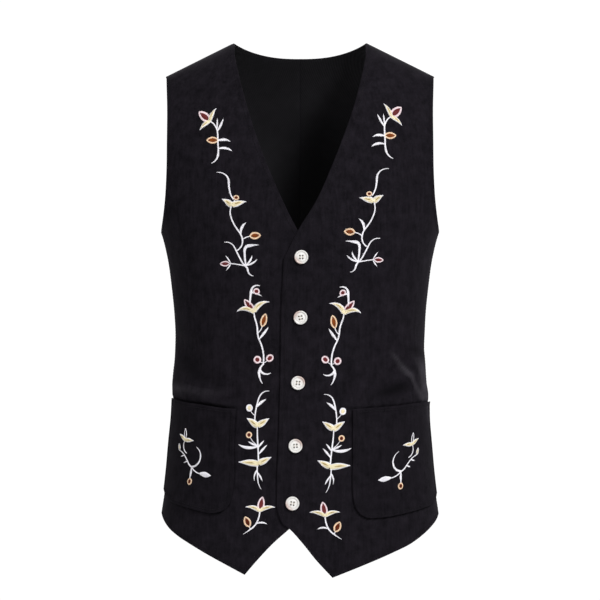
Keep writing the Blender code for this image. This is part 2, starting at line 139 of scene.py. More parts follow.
sectionTable = np.array(form["sections"])[::-1]


def section(column, height):
    index = ("height", "halfWidth", "front", "back").index(column)
    sizes = smoothThrough(sectionTable[:, 0], sectionTable[:, index], height)
    return sizes + form["ease"] if column == "halfWidth" else sizes


def ridge(out):
    # height of the shoulder line, which curves up inside the neck
    out = np.abs(out)
    neckHalf, slope = form["neckHalf"], form["shoulderSlope"]
    inside = form["neckHeight"] + 0.5 * slope * neckHalf * (1 - (out / neckHalf) ** 2)
    return np.where(out < neckHalf, inside, form["neckHeight"] - slope * (out - neckHalf))


def downTo(turn, height):
    # cloth length from the shoulder line down to a height
    curve = form["shoulderRound"]
    drop = np.maximum(ridge(form["topHalfWidth"] * np.sin(turn)) - height, 0)
    curved = curve * np.arccos(np.clip(1 - drop / curve, 0, 1))
    return np.where(drop < curve, curved, drop + curve * (quarterTurn - 1))


def ontoForm(out, height):
    turn = np.arcsin(np.clip(out / section("halfWidth", height), -1, 1))
    return np.stack([turn, downTo(turn, height)], axis=-1)


# cut: turn round the body and length down it; facing: -1 in front, 1 behind
def bareForm(cut, facing):
    turn, down = cut[..., 0], cut[..., 1]
    curve = form["shoulderRound"]
    arc = np.minimum(down / curve, quarterTurn)
    straight = np.maximum(down - curve * quarterTurn, 0)
    height = ridge(form["topHalfWidth"] * np.sin(turn)) - curve * (1 - np.cos(arc)) - straight
    depth = section("front" if facing < 0 else "back", height)
    full = 1 + form["fullness"] * np.sin(turn) ** 2
    away = facing * depth * np.cos(turn) * full * np.sin(arc)
    return np.stack([section("halfWidth", height) * np.sin(turn), away, height], axis=-1)


def outward(cut, facing):
    aside, below = np.array([1e-4, 0.0]), np.array([0.0, 1e-4])
    across = bareForm(cut + aside, facing) - bareForm(cut - aside, facing)
    along = bareForm(cut + below, facing) - bareForm(cut - below, facing)
    return unit(np.cross(across, along) * facing)


def alongLines(lines, cut, height, facing):
    # soft ridges along lines: each fades at its ends and away from its middle
    around = np.degrees(cut[..., 0])
    if facing > 0:
        around = np.where(around >= 0, 180 - around, -180 - around)
    total = np.zeros_like(around)
    radius, ends = form["meanRadius"], form["foldEnds"]
    for turnA, heightA, turnB, heightB, width, rise in lines:
        start = np.array([math.radians(turnA) * radius, heightA])
        along = np.array([math.radians(turnB) * radius, heightB]) - start
        for lap in (-360, 0, 360):
            here = np.stack([np.radians(around + lap) * radius, height], axis=-1) - start
            share = np.clip(here @ along / (along @ along), 0, 1)
            away = np.linalg.norm(here - share[..., None] * along, axis=-1)
            fade = np.sin(math.pi * (ends + (1 - 2 * ends) * share))
            total += rise * fade * np.exp(-((away / width) ** 2))
    return total


def cloth(cut, facing, lift=0.0):
    points = bareForm(cut, facing)
    normals = outward(cut, facing)
    rise = alongLines(form["folds"] + form["creases"], cut, points[..., 2], facing) + lift
    points = points + normals * np.asarray(rise)[..., None]
    points[..., 1] += facing * form["seamGap"] / 2
    return points, normals


# Pattern edges: a line of points on the form, cut into even steps
def edge(points, steps, facing=-1, side=1, heightShare=0.0):
    points = np.array(points)
    keys = runAlong(points)
    fine = smoothThrough(keys, points, np.linspace(0, keys[-1], form["edgeFineness"] * steps + 1))
    cut = ontoForm(fine[:, 0], fine[:, 1])
    moves = np.diff(bareForm(cut, facing), axis=0)
    lengths = np.linalg.norm(moves, axis=1)
    rises = np.abs(moves[:, 2])
    even = (1 - heightShare) * lengths / lengths.sum() + heightShare * rises / rises.sum()
    reached = np.concatenate([[0], np.cumsum(even)])
    places = np.interp(np.linspace(0, 1, steps + 1), reached, np.arange(len(fine)))
    found = np.stack([np.interp(places, np.arange(len(fine)), cut[:, k]) for k in (0, 1)], axis=-1)
    return found * [side, 1]


def joinEdges(*edges):
    return np.concatenate([edges[0]] + [piece[1:] for piece in edges[1:]])


def uprightEdge(low, high, steps, side, turn=quarterTurn):
    height = np.linspace(low, high, steps + 1)
    return ontoForm(section("halfWidth", height) * math.sin(turn), height) * [side, 1]


def atTurn(turn, height):
    return (float(section("halfWidth", np.array([height]))[0]) * math.sin(turn), height)


def patch(left, right, bottom, top):
    # fills four edges with an even grid
    left, right = left.copy(), right.copy()
    left[0], left[-1] = bottom[0], top[0]
    right[0], right[-1] = bottom[-1], top[-1]
    across = np.linspace(0, 1, len(bottom))[None, :, None]
    up = np.linspace(0, 1, len(left))[:, None, None]
    fromSides = (1 - across) * left[:, None] + across * right[:, None]
    fromEnds = (1 - up) * bottom[None] + up * top[None]
    low = (1 - across) * bottom[0] + across * bottom[-1]
    high = (1 - across) * top[0] + across * top[-1]
    return fromSides + fromEnds - (1 - up) * low - up * high


def feed(tree, socket, value):
    # value: another node's result, a colour or a number
    if isinstance(value, bpy.types.NodeSocket):
        tree.links.new(value, socket)
    else:
        socket.default_value = (*value, 1) if socket.type == "RGBA" else value


def addNode(tree, kind, output, sockets, **settings):
    made = tree.nodes.new("ShaderNode" + kind)
    for name, value in settings.items():
        setattr(made, name, value)
    for name, value in sockets.items():
        feed(tree, made.inputs[name], value)
    return made.outputs[output]


def nodeMaterial(name, finish):
    made = bpy.data.materials.new(name)
    made.use_nodes = True
    tree = made.node_tree
    shader = tree.nodes["Principled BSDF"]
    for socket, value in finish.items():
        feed(tree, shader.inputs[socket], value)
    return made, tree, shader, addNode(tree, "TexCoord", "Object", {})


def noiseNode(tree, source, scale, detail, roughness=0.5):
    sizes = {"Vector": source, "Scale": scale, "Detail": detail, "Roughness": roughness}
    return addNode(tree, "TexNoise", "Fac", sizes)


def stretchedNoise(tree, source, scale, detail, roughness):
    place = addNode(tree, "Mapping", "Vector", {"Vector": source, "Scale": scale})
    return noiseNode(tree, place, 1.0, detail, roughness)


def mathNode(tree, kind, *values):
    return addNode(tree, "Math", 0, dict(enumerate(values)), operation=kind)


def times(tree, first, second, plus=0.0):
    # a product, and what is added to it
    return mathNode(tree, "MULTIPLY_ADD", first, second, plus)


def rampNode(tree, source, stops):
    ramp = tree.nodes.new("ShaderNodeValToRGB")
    while len(ramp.color_ramp.elements) < len(stops):
        ramp.color_ramp.elements.new(0.5)
    for element, (place, colour) in zip(ramp.color_ramp.elements, stops):
        element.position = place
        element.color = (*colour, 1)
    tree.links.new(source, ramp.inputs["Fac"])
    return ramp.outputs["Color"]


def mixColour(tree, share, first, second):
    return addNode(tree, "Mix", "Result", {"Factor": share, "A": first, "B": second}, data_type="RGBA")


def addBump(tree, shader, height, strength, distance):
    sizes = {"Strength": strength, "Distance": distance, "Height": height}
    feed(tree, shader.inputs["Normal"], addNode(tree, "Bump", "Normal", sizes))


suede = {
    "thickness": 0.0018,
    "pocketThickness": 0.0014,
    "edgeRise": 0.00035,  # the turned edge stands this proud
    "edgeWidth": 0.0065,
    "edgeFlat": 0.6,  # share of its width that stands fully proud
    "edgeAngles": (36, 72, 108, 144),
    "sharpAngle": 60,
    # size in features per metre, detail and roughness
    "napAndPaintedLight": (1000, 3, 0.7),
    "mottle": (85, 5, 0.65),
    "streaks": ((320, 320, 34), 3, 0.6),
    "shares": (0.45, 0.27, 0.28),  # of mottle, streaks and nap in the colour
    "colours": ((0.38, (0.0030, 0.0025, 0.0038)), (0.62, (0.0114, 0.0095, 0.0132))),
    # colour of the painted highlight on fold crests, then of the painted shade in hollows and at the pocket
    # mouths
    "paintedHighlight": (0.0620, 0.0570, 0.0670),
    "paintedShade": (0.0016, 0.0013, 0.0021),
    "paintedHighlightBreakup": (1.4, 1.3),  # how far the nap breaks up the painted highlight
    "bumpStreaks": 0.6,
    "bump": (0.45, 0.0005),
    "finish": {
        "Roughness": 0.9,
        "Specular IOR Level": 0.06,
        "Sheen Weight": 0.030,
        "Sheen Tint": (0.62, 0.56, 0.68),
    },
}


def makeSuede(name):
    made, tree, shader, place = nodeMaterial(name, suede["finish"])
    napAndPaintedLight = noiseNode(tree, place, *suede["napAndPaintedLight"])
    mottle = noiseNode(tree, place, *suede["mottle"])
    streak = stretchedNoise(tree, place, *suede["streaks"])
    mottleShare, streakShare, napShare = suede["shares"]
    blend = times(tree, streak, streakShare)
    blend = times(tree, mottle, mottleShare, blend)
    blend = times(tree, napAndPaintedLight, napShare, blend)
    colour = rampNode(tree, blend, suede["colours"])
    # painted light and shade from the mesh attribute: above nothing it mixes in the painted highlight, broken
    # up by nap and mottle, below nothing the painted shade
    paintedLight = addNode(tree, "Attribute", "Fac", {}, attribute_name="napAndPaintedLight")
    paintedHighlightBreakup = times(tree, mottle, times(tree, napAndPaintedLight, *suede["paintedHighlightBreakup"]))
    paintedHighlightShare = times(tree, mathNode(tree, "MAXIMUM", paintedLight, 0.0), paintedHighlightBreakup)
    paintedShadeShare = times(tree, mathNode(tree, "MINIMUM", paintedLight, 0.0), -1.0)
    colour = mixColour(tree, paintedHighlightShare, colour, suede["paintedHighlight"])
    feed(tree, shader.inputs["Base Color"], mixColour(tree, paintedShadeShare, colour, suede["paintedShade"]))
    height = times(tree, streak, suede["bumpStreaks"], napAndPaintedLight)
    addBump(tree, shader, height, *suede["bump"])
    return made


lining = {
    "twill": 1500 / 6.28,
    "waver": 0.6,
    "cloud": (70, 3),
    "colours": ((0.2, (0.0045, 0.0042, 0.0052)), (0.8, (0.0105, 0.0098, 0.0120))),
    "bump": (0.15, 0.0002),
    "finish": {"Roughness": 0.7, "Specular IOR Level": 0.14, "Sheen Weight": 0.05, "Sheen Roughness": 0.4},
}


def makeLining(name):
    made, tree, shader, place = nodeMaterial(name, lining["finish"])
    sizes = {"Vector": place, "Scale": lining["twill"], "Distortion": lining["waver"]}
    wave = addNode(tree, "TexWave", "Fac", sizes, bands_direction="DIAGONAL")
    cloudy = times(tree, noiseNode(tree, place, *lining["cloud"]), 0.5)
    share = times(tree, wave, 0.5, cloudy)
    feed(tree, shader.inputs["Base Color"], rampNode(tree, share, lining["colours"]))
    addBump(tree, shader, wave, *lining["bump"])
    return made


sheetMaterials = [makeSuede("blackSuede"), makeLining("blackLining")]


def placeObject(name, data):
    made = bpy.data.objects.new(name, data)
    bpy.context.scene.collection.objects.link(made)
    return made


def placeMesh(name, verts, faces, materials, faceMaterials=None, sharpAngle=None):
    data = bpy.data.meshes.new(name)
    data.from_pydata([tuple(map(float, v)) for v in verts], [], faces)
    for material in materials:
        data.materials.append(material)
    if faceMaterials is not None:
        data.polygons.foreach_set("material_index", np.array(faceMaterials, np.int32))
    data.shade_smooth()
    if sharpAngle:
        data.set_sharp_from_angle(angle=math.radians(sharpAngle))
    return placeObject(name, data)


def borderOf(rows, columns):
    # row and column of each point round the grid: hem, outer edge, top, inner edge
    around = [(0, j) for j in range(columns)]
    around += [(i, columns - 1) for i in range(1, rows)]
    around += [(rows - 1, j) for j in range(columns - 2, -1, -1)]
    around += [(i, 0) for i in range(rows - 2, 0, -1)]
    return np.array(around).T


# A panel: outer and inner face with a rounded turned edge between them
def shell(name, points, normals, thickness):
    rows, columns = points.shape[:2]
    row, column = borderOf(rows, columns)
    rim, rimNormal = points[row, column], normals[row, column]
    away = unit(np.cross(np.roll(rim, -1, axis=0) - np.roll(rim, 1, axis=0), rimNormal))
    inside = points[np.clip(row, 1, rows - 2), np.clip(column, 1, columns - 2)]
    away *= np.sign((away * (rim - inside)).sum())
    radius = thickness / 2
    outer = points.copy()
    outer[row, column] = rim - away * radius
    inner = outer - normals * thickness
    verts = list(outer.reshape(-1, 3)) + list(inner.reshape(-1, 3))
    faces, kinds = [], []
    flip = np.dot(np.cross(points[0, 1] - points[0, 0], points[1, 0] - points[0, 0]), normals[0, 0]) < 0
    for layer in (0, 1):
        for i in range(rows - 1):
            for j in range(columns - 1):
                corner = (layer * rows + i) * columns + j
                quad = (corner, corner + 1, corner + columns + 1, corner + columns)
                faces.append(quad[::-1] if bool(layer) != flip else quad)
                kinds.append(layer)
    count = len(rim)
    rings = [row * columns + column]
    for angle in np.radians(suede["edgeAngles"]):
        rings.append(np.arange(len(verts), len(verts) + count))
        sunk = rimNormal * (radius * (math.cos(angle) - 1))
        verts += list(rim + away * (radius * (math.sin(angle) - 1)) + sunk)
    rings.append((rows + row) * columns + column)
    rings = [ring.tolist() for ring in rings]
    for ring, after in zip(rings, rings[1:]):
        for k in range(count):
            quad = (ring[k], after[k], after[(k + 1) % count], ring[(k + 1) % count])
            faces.append(quad[::-1] if flip else quad)
            kinds.append(0)
    outerFaces = faces[: (rows - 1) * (columns - 1)]
    surface = BVHTree.FromPolygons([Vector(p) for p in outer.reshape(-1, 3)], outerFaces)
    panel = placeMesh(name, verts, faces, sheetMaterials, kinds, suede["sharpAngle"])
    return panel, {"surface": surface, "rim": rim, "away": away, "size": (rows, columns)}


def paintLightAndShade(panel, cut, facing, strength, more):
    # paints highlight and shade into the outer face's colour: the marks times the strength, plus more painted
    # shade, kept as a mesh attribute
    # vertices run over the outer face first; the inner face and the edge keep no mark
    height = bareForm(cut, facing)[..., 2]
    marks = (strength * alongLines(paintedLightMarks, cut, height, facing) + more).reshape(-1)
    values = np.zeros(len(panel.data.vertices), np.float32)
    values[: len(marks)] = np.clip(marks, -1, 1)
    panel.data.attributes.new("napAndPaintedLight", "FLOAT", "POINT").data.foreach_set("value", values)


def edgePuff(points):
    # the turned edge is two layers thick, so it stands a little proud
    rows, columns = points.shape[:2]
    row, column = borderOf(rows, columns)
    rim, width = points[row, column], suede["edgeWidth"]
    nearest = [np.sqrt(((rim - p) ** 2).sum(axis=1).min()) for p in points.reshape(-1, 3)]
    nearest = np.array(nearest).reshape(rows, columns)
    share = np.clip(1 - (nearest / width - suede["edgeFlat"]) / (1 - suede["edgeFlat"]), 0, 1)
    return suede["edgeRise"] * eased(share)


def makeSheet(name, node, cut, facing, lift, thickness, napAndPaintedLight, flat, area, **resting):
    points, normals = cloth(cut, facing, lift)
    panel, sheet = shell(name, points, normals, thickness)
    paintLightAndShade(panel, cut, facing, *napAndPaintedLight)
    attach(panel, "root")
    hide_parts(node)
    return panel, sheet


fronts = {
    "columnsToPoint": 34,
    "columnsToSide": 60,
    "rowsBelow": 480,
    "rowsAbove": 76,
    "rowStep": 4,  # of the rows below, this many to one away from the pocket mouth
    "fineBand": (-0.442, -0.416),
    "underlapDrop": 0.0023,
    "underlapEase": 0.026,
    "underlapMargin": 0.010,
    "flat": (0.290, 0.700),
    "armholeSpacing": 0.4,  # share of the armhole's steps that goes by height
    "armhole": (
        (0.1715, -0.2050), (0.1680, -0.1820), (0.1655, -0.1450), (0.1650, -0.1050), (0.1652, -0.0600),
        (0.1670, -0.0215),
    ),
}
topFront = {
    "side": 1,
    "area": 0.1267,
    "neckline": (
        (-0.0202, -0.2499), (-0.0022, -0.2144), (0.0202, -0.1777), (0.0380, -0.1380), (0.0534, -0.0986),
        (0.0670, -0.0587), (0.0775, -0.0180), (0.0815, 0.0020), (0.082, 0.021),
    ),
    "frontEdge": (
        (-0.0262, -0.5635), (-0.0284, -0.5530), (-0.0286, -0.5400), (-0.0269, -0.4834), (-0.0245, -0.4016),
        (-0.0226, -0.3000), (-0.0202, -0.2499),
    ),
    "hemToPoint": (
        (-0.0262, -0.5635), (-0.0212, -0.5735), (-0.0134, -0.5796), (0.0031, -0.5975), (0.0189, -0.6172),
        (0.0397, -0.6397),
    ),
    "hemToSide": (
        (0.0397, -0.6397), (0.0703, -0.6278), (0.1159, -0.6091), (0.1359, -0.6000), (0.1498, -0.5910),
        (0.1615, -0.5815), (0.1698, -0.5725),
    ),
}
underFront = {
    "side": -1,
    "area": 0.1207,
    "neckline": (
        (-0.0160, -0.2499), (0.0030, -0.2144), (0.0214, -0.1777), (0.0386, -0.1380), (0.0534, -0.0986),
        (0.0659, -0.0587), (0.0765, -0.0180), (0.0810, 0.0020), (0.082, 0.021),
    ),
    "frontEdge": (
        (-0.0080, -0.5590), (-0.0100, -0.5480), (-0.0105, -0.5300), (-0.0125, -0.4000), (-0.0155, -0.3000),
        (-0.0160, -0.2499),
    ),
    "hemToPoint": (
        (-0.0080, -0.5590), (-0.0010, -0.5670), (0.0128, -0.5798), (0.0336, -0.5982), (0.0520, -0.6178),
        (0.0679, -0.6363),
    ),
    "hemToSide": (
        (0.0679, -0.6363), (0.0838, -0.6280), (0.1196, -0.6092), (0.1359, -0.6000), (0.1511, -0.5911),
        (0.1629, -0.5820), (0.1705, -0.5720),
    ),
}
pockets = {
    "columns": 56,
    "rows": 56,
    "lift": 0.0007,
    "outerTurn": math.radians(84),
    "gapeDepth": 0.055,
    "blouseReach": 17,
    "outerSink": (0.70, 0.2),  # from this share across, the step back shrinks to this share
    # painted shade on the panel: how deep, how far above the line, and how far it spreads
    "mouthShade": (1.2, -0.3, 1.3),
    "footShade": (1.1, -0.8, 1.9),
    "napAndPaintedLight": (0.6, -0.16),  # painted light and shade on the pockets at this strength, and the whole pocket a little darker
    "edgeRise": 2.2,  # the doubled edge of a pocket stands this much more proud than a panel's
}
leftPocketCut = {
    "side": 1,
    "inner": ((0.0665, -0.5520), (0.0645, -0.5380), (0.0642, -0.4900), (0.0643, -0.4338)),
    "bottom": (
        (0.0665, -0.5520), (0.0725, -0.5610), (0.0824, -0.5666), (0.0949, -0.5668), (0.1294, -0.5618),
        (0.1504, -0.5567), (0.1610, -0.5530), (0.1657, -0.5485),
    ),
    "mouth": ((0.0643, -0.4338), (0.0894, -0.4321), (0.1181, -0.4301), (0.1415, -0.4276)),
    "cornerHeight": -0.5410,
    "mouthHeight": -0.4265,
    "gape": 0.0006,
    "sideGape": 0.0016,
    # in millimetres: how far the panel comes forward over the mouth, steps back, how far
    # above the lip, and over what height
    "blouse": (2.6, 1.2, 0.4, 1.2),
    # share across the mouth from its inner end, strength of the step
    "blousing": ((-0.15, 0.0), (0.0, 0.60), (0.3, 0.70), (0.7, 0.80), (1.0, 0.55), (1.1, 0.3)),
    "flat": (0.135, 0.160),
    "area": 0.0193,
}
rightPocketCut = {
    "side": -1,
    "inner": ((0.0850, -0.5465), (0.0822, -0.5340), (0.0806, -0.4800), (0.0785, -0.4335)),
    "bottom": (
        (0.0850, -0.5465), (0.0890, -0.5538), (0.0957, -0.5588), (0.1036, -0.5610), (0.1289, -0.5576),
        (0.1461, -0.5533), (0.1590, -0.5487), (0.1645, -0.5435),
    ),
    "mouth": ((0.0785, -0.4335), (0.0901, -0.4329), (0.1237, -0.4283), (0.1406, -0.4262)),
    "cornerHeight": -0.5360,
    "mouthHeight": -0.4220,
    "gape": 0.0008,
    "sideGape": 0.0001,
    "blouse": (2.8, 2.4, 1.8, 1.8),
    "blousing": ((-0.15, 0.0), (0.0, 0.35), (0.25, 0.95), (0.5, 1.10), (0.8, 0.80), (1.0, 0.7), (1.1, 0.4)),
    "flat": (0.120, 0.160),
    "area": 0.0165,
}


def sideEdge(steps, side):
    return uprightEdge(form["sideHem"], form["underarm"], steps, side)


def armholeEdge(steps, side):
    start = (atTurn(quarterTurn, form["underarm"]),)
    return edge(start + fronts["armhole"], steps, side=side, heightShare=fronts["armholeSpacing"])


def shoulderEdge(steps, side):
    out = np.linspace(form["neckHalf"], form["shoulderHalf"], steps + 1)
    turns = np.arcsin(out / form["topHalfWidth"]) * side
    return np.stack([turns, np.zeros(steps + 1)], axis=-1)


def underlapSink(cut):
    # the under front sinks behind the edge of the top one
    points = bareForm(cut, -1)
    line = topFront["frontEdge"] + topFront["neckline"][1:]
    topEdge = np.interp(points[..., 2], [p[1] for p in line], [p[0] for p in line])
    reach = points[..., 0] - topEdge + fronts["underlapMargin"] + fronts["underlapEase"]
    return -fronts["underlapDrop"] * eased(np.clip(reach / fronts["underlapEase"], 0, 1))


def aboveLine(line, out, height):
    # millimetres above a line of points
    return (height - np.interp(out, [p[0] for p in line], [p[1] for p in line])) * 1000


def mouthStep(cut, side, pocket):
    # the panel blouses a little over the pocket mouth, then steps back behind it
    points = bareForm(cut, -1)
    out, height = side * points[..., 0], points[..., 2]
    outerTurn = pockets["outerTurn"]
    lip = pocket["mouth"] + (atTurn(outerTurn, pocket["mouthHeight"]),)
    rise, sink, lift, half = pocket["blouse"]
    above = aboveLine(lip, out, height) - lift
    inside = (out - lip[0][0]) / (lip[-1][0] - lip[0][0])
    shrinkFrom, shrinkTo = pockets["outerSink"]
    sink = sink * np.interp(inside, (shrinkFrom, 1.0), (1.0, shrinkTo))
    strength = np.interp(inside, *zip(*pocket["blousing"]))
    strength = strength * np.clip((quarterTurn - np.abs(cut[..., 0])) / (quarterTurn - outerTurn), 0, 1)
    step = -sink + (rise + sink) * eased(np.clip((above + half) / (2 * half), 0, 1))
    away = np.exp(-((np.maximum(np.abs(above) - half, 0) / pockets["blouseReach"]) ** 2))
    beyond = np.where(above > half, rise * away, -sink * away)
    moved = strength * np.where(np.abs(above) > half, beyond, step) / 1000
    # painted shade over the pocket mouth, in the step back just above the lip
    depth, place, spread = pockets["mouthShade"]
    shaded = -strength * np.clip(depth - np.abs(above - place * half) / (spread * half), 0, 1)
    # and a painted shade just under the pocket's lower edge
    foot = pocket["bottom"] + (atTurn(outerTurn, pocket["cornerHeight"]),)
    within = (out > foot[0][0]) & (out < foot[-1][0])
    depth, place, spread = pockets["footShade"]
    shade = np.clip(depth - np.abs(aboveLine(foot, out, height) - place) / spread, 0, 1)
    return moved, shaded - within * shade


def makeFront(name, node, cutting, sunk, pocket):
    side = cutting["side"]
    inner = joinEdges(
        edge(cutting["frontEdge"], fronts["rowsBelow"], side=side),
        edge(cutting["neckline"], fronts["rowsAbove"], side=side),
    )
    outer = joinEdges(sideEdge(fronts["rowsBelow"], side), armholeEdge(fronts["rowsAbove"], side))
    hemEnd = (atTurn(quarterTurn, form["sideHem"]),)
    hem = joinEdges(
        edge(cutting["hemToPoint"], fronts["columnsToPoint"], side=side),
        edge(cutting["hemToSide"] + hemEnd, fronts["columnsToSide"], side=side),
    )
    shoulder = shoulderEdge(fronts["columnsToPoint"] + fronts["columnsToSide"], side)
    cut = patch(inner, outer, hem, shoulder)
    sideHeight = bareForm(cut[:, -1], -1)[:, 2]
    low, high = fronts["fineBand"]
    rows = np.arange(len(cut))
    fine = (sideHeight > low) & (sideHeight < high)
    cut = cut[(rows % fronts["rowStep"] == 0) | (rows > fronts["rowsBelow"]) | fine]
    puff = underlapSink(cut) if sunk else edgePuff(bareForm(cut, -1))
    # the cloth's step at the pocket mouth, and the painted shade there and under the pocket
    step, shaded = mouthStep(cut, side, pocket)
    sizes = (suede["thickness"], (1.0, shaded), fronts["flat"], cutting["area"])
    return makeSheet(name, node, cut, -1, puff + step, *sizes)


leftFront, leftSheet = makeFront("leftFront", "front_left", topFront, False, leftPocketCut)
rightFront, rightSheet = makeFront("rightFront", "front_right", underFront, True, rightPocketCut)
print("fronts made")

back = {
    "neckColumns": 22,
    "shoulderColumns": 30,
    "rowsBelow": 70,
    "rowsAbove": 56,
    "edgePoints": 9,
    "hemCurve": 4,
    "neckCurve": 2.5,
    "flat": (0.245, 0.620),
    "area": 0.1205,
}


def makeBack(name, node, side):
    beside = form["seamGap"]
    middle = form["neckHeight"] - form["backNeckDrop"]
    seam = joinEdges(
        edge(((beside, form["backHem"]), (beside, form["underarm"])), back["rowsBelow"], 1, side),
        edge(((beside, form["underarm"]), (beside, middle)), back["rowsAbove"], 1, side),
    )
    outer = joinEdges(sideEdge(back["rowsBelow"], side), armholeEdge(back["rowsAbove"], side))
    columns = back["neckColumns"] + back["shoulderColumns"]
    out = np.linspace(beside, atTurn(quarterTurn, form["sideHem"])[0], back["edgePoints"])
    drop = (form["sideHem"] - form["backHem"]) * (out / out[-1]) ** back["hemCurve"]
    hem = edge(np.stack([out, form["backHem"] + drop], axis=-1), columns, 1, side)
    out = np.linspace(beside, form["neckHalf"], back["edgePoints"])
    drop = form["backNeckDrop"] * (1 - np.abs(out / form["neckHalf"]) ** back["neckCurve"])
    neck = edge(np.stack([out, form["neckHeight"] - drop], axis=-1), back["neckColumns"], 1, side)
    cut = patch(seam, outer, hem, joinEdges(neck, shoulderEdge(back["shoulderColumns"], side)))
    # painted light and shade on the back at full strength
    sizes = (suede["thickness"], (1.0, 0.0), back["flat"], back["area"])
    return makeSheet(name, node, cut, 1, edgePuff(bareForm(cut, 1)), *sizes)[1]


leftBackSheet = makeBack("leftBack", "back_left", 1)
rightBackSheet = makeBack("rightBack", "back_right", -1)
print("back made")


def makePocket(name, node, cutting, front):
    side, outerTurn = cutting["side"], pockets["outerTurn"]
    low, high = cutting["cornerHeight"], cutting["mouthHeight"]
    corner, lip = (atTurn(outerTurn, low),), (atTurn(outerTurn, high),)
    inner = edge(cutting["inner"], pockets["rows"], side=side)
    outer = uprightEdge(low, high, pockets["rows"], side, outerTurn)
    bottom = edge(cutting["bottom"] + corner, pockets["columns"], side=side)
    mouth = edge(cutting["mouth"] + lip, pockets["columns"], side=side)
    cut = patch(inner, outer, bottom, mouth)
    across = np.linspace(0, 1, pockets["columns"] + 1)[None, :]
    belowMouth = cut[-1:, :, 1] - cut[..., 1]
    nearMouth = np.clip(1 + belowMouth / pockets["gapeDepth"], 0, 1) ** 2
    opened = cutting["gape"] * np.sin(math.pi * across) + cutting["sideGape"] * across**3
    lift = pockets["lift"] + opened * nearMouth + suede["pocketThickness"]
    lift = lift + pockets["edgeRise"] * edgePuff(bareForm(cut, -1))
    sizes = (suede["pocketThickness"], pockets["napAndPaintedLight"], cutting["flat"], cutting["area"])
    return makeSheet(name, node, cut, -1, lift, *sizes, rests_on=[front])[1]


leftPocketSheet = makePocket("leftPocket", "pocket_left", leftPocketCut, leftFront)
rightPocketSheet = makePocket("rightPocket", "pocket_right", rightPocketCut, rightFront)
print("pockets made")

# Buttons: turned, with a groove inside the rim and four holes
button = {
    "across": 0.0170,
    "hole": 0.0021,
    "holeSpacing": 0.0034,
    "lift": 0.0003,
    "sides": 72,
    "holeSides": 20,
    "drillDepth": 0.02,
    "sharpAngle": 30,
    # out from the middle, height, and how far each is turned
    "centres": (
        (0.0016, -0.2474, 0), (0.0006, -0.3214, -80), (-0.0024, -0.4016, 174), (-0.0055, -0.4785, 184),
        (-0.0092, -0.5487, -9),
    ),
    # share of the radius, height
    "profile": (
        (0.0, 0.0), (0.84, 0.0), (0.95, 0.0004), (1.0, 0.0011), (1.0, 0.0017), (0.97, 0.0024),
        (0.92, 0.0028), (0.86, 0.00285), (0.80, 0.0026), (0.76, 0.0022), (0.72, 0.0020), (0.66, 0.00205),
        (0.56, 0.00235), (0.30, 0.0024), (0.0, 0.0024),
    ),
    # the thread from a hole to halfway over: distance from the hole, height
    "threadPath": ((0.0, 0.0004), (0.00025, 0.0019), (0.0008, 0.0026)),
    "threadRadius": 0.00022,
    "threadSides": 6,
    "thread": ((0.62, 0.56, 0.46), (0.42, 0.36, 0.29)),
}
ivory = {
    "cloud": (260, 4, 0.6),
    "streaks": ((900, 160, 400), 3, 0.7),
    "base": (0.70, 0.68, 0.64),
    "milk": (0.88, 0.87, 0.86),
    "blush": (0.42, 0.22, 0.17),
    "grey": (0.46, 0.47, 0.46),
    "groove": (0.36, 0.34, 0.31),
    # how fast each colour comes in across the button, from where, and its most
    "blushReach": (-110, -0.45, 0.6),
    "greyReach": (70, -0.15, 0.5),
    "veinFrom": 0.42,
    "veinStrength": 4.0,
    "patches": (1.6, 0.5),  # shares of cloud and veins
    # share of the radius where dirt and shade gather in the turned groove
    "grooveBand": ((0.60, (0, 0, 0)), (0.69, (1, 1, 1)), (0.76, (1, 1, 1)), (0.86, (0, 0, 0))),
    "grooveShare": 0.30,
    "bump": (0.08, 0.0003),
    "finish": {
        "Roughness": 0.34,
        "Specular IOR Level": 0.45,
        "Coat Weight": 0.25,
        "Coat Roughness": 0.2,
    },
}


def makeIvory(name):
    made, tree, shader, place = nodeMaterial(name, ivory["finish"])
    parts = [addNode(tree, "SeparateXYZ", axis, {"Vector": place}) for axis in ("X", "Y")]
    cloud = noiseNode(tree, place, *ivory["cloud"])
    streak = stretchedNoise(tree, place, *ivory["streaks"])
    veins = mathNode(tree, "SUBTRACT", streak, ivory["veinFrom"])
    veins = times(tree, veins, ivory["veinStrength"])
    cloudShare, veinShare = ivory["patches"]
    patches = times(tree, cloud, cloudShare, times(tree, veins, veinShare))
    colour = mixColour(tree, cloud, ivory["base"], ivory["milk"])
    slant = mathNode(tree, "ADD", *parts)
    for tint, across, pattern in (("blush", slant, patches), ("grey", parts[0], veins)):
        fast, begin, most = ivory[tint + "Reach"]
        towards = mathNode(tree, "MAXIMUM", times(tree, across, fast, begin), 0.0)
        share = times(tree, towards, mathNode(tree, "MAXIMUM", pattern, 0.0))
        colour = mixColour(tree, mathNode(tree, "MINIMUM", share, most), colour, ivory[tint])
    flat = addNode(tree, "CombineXYZ", 0, {"X": parts[0], "Y": parts[1]})
    length = addNode(tree, "VectorMath", "Value", {0: flat}, operation="LENGTH")
    share = mathNode(tree, "DIVIDE", length, button["across"] / 2)
    # the turned groove painted darker: dirt, and painted shade in the recess
    grooveDirtAndShade = times(tree, rampNode(tree, share, ivory["grooveBand"]), ivory["grooveShare"])
    feed(tree, shader.inputs["Base Color"], mixColour(tree, grooveDirtAndShade, colour, ivory["groove"]))
    addBump(tree, shader, streak, *ivory["bump"])
    return made


def objectOf(name, builder):
    data = bpy.data.meshes.new(name)
    builder.to_mesh(data)
    builder.free()
    return placeObject(name, data)


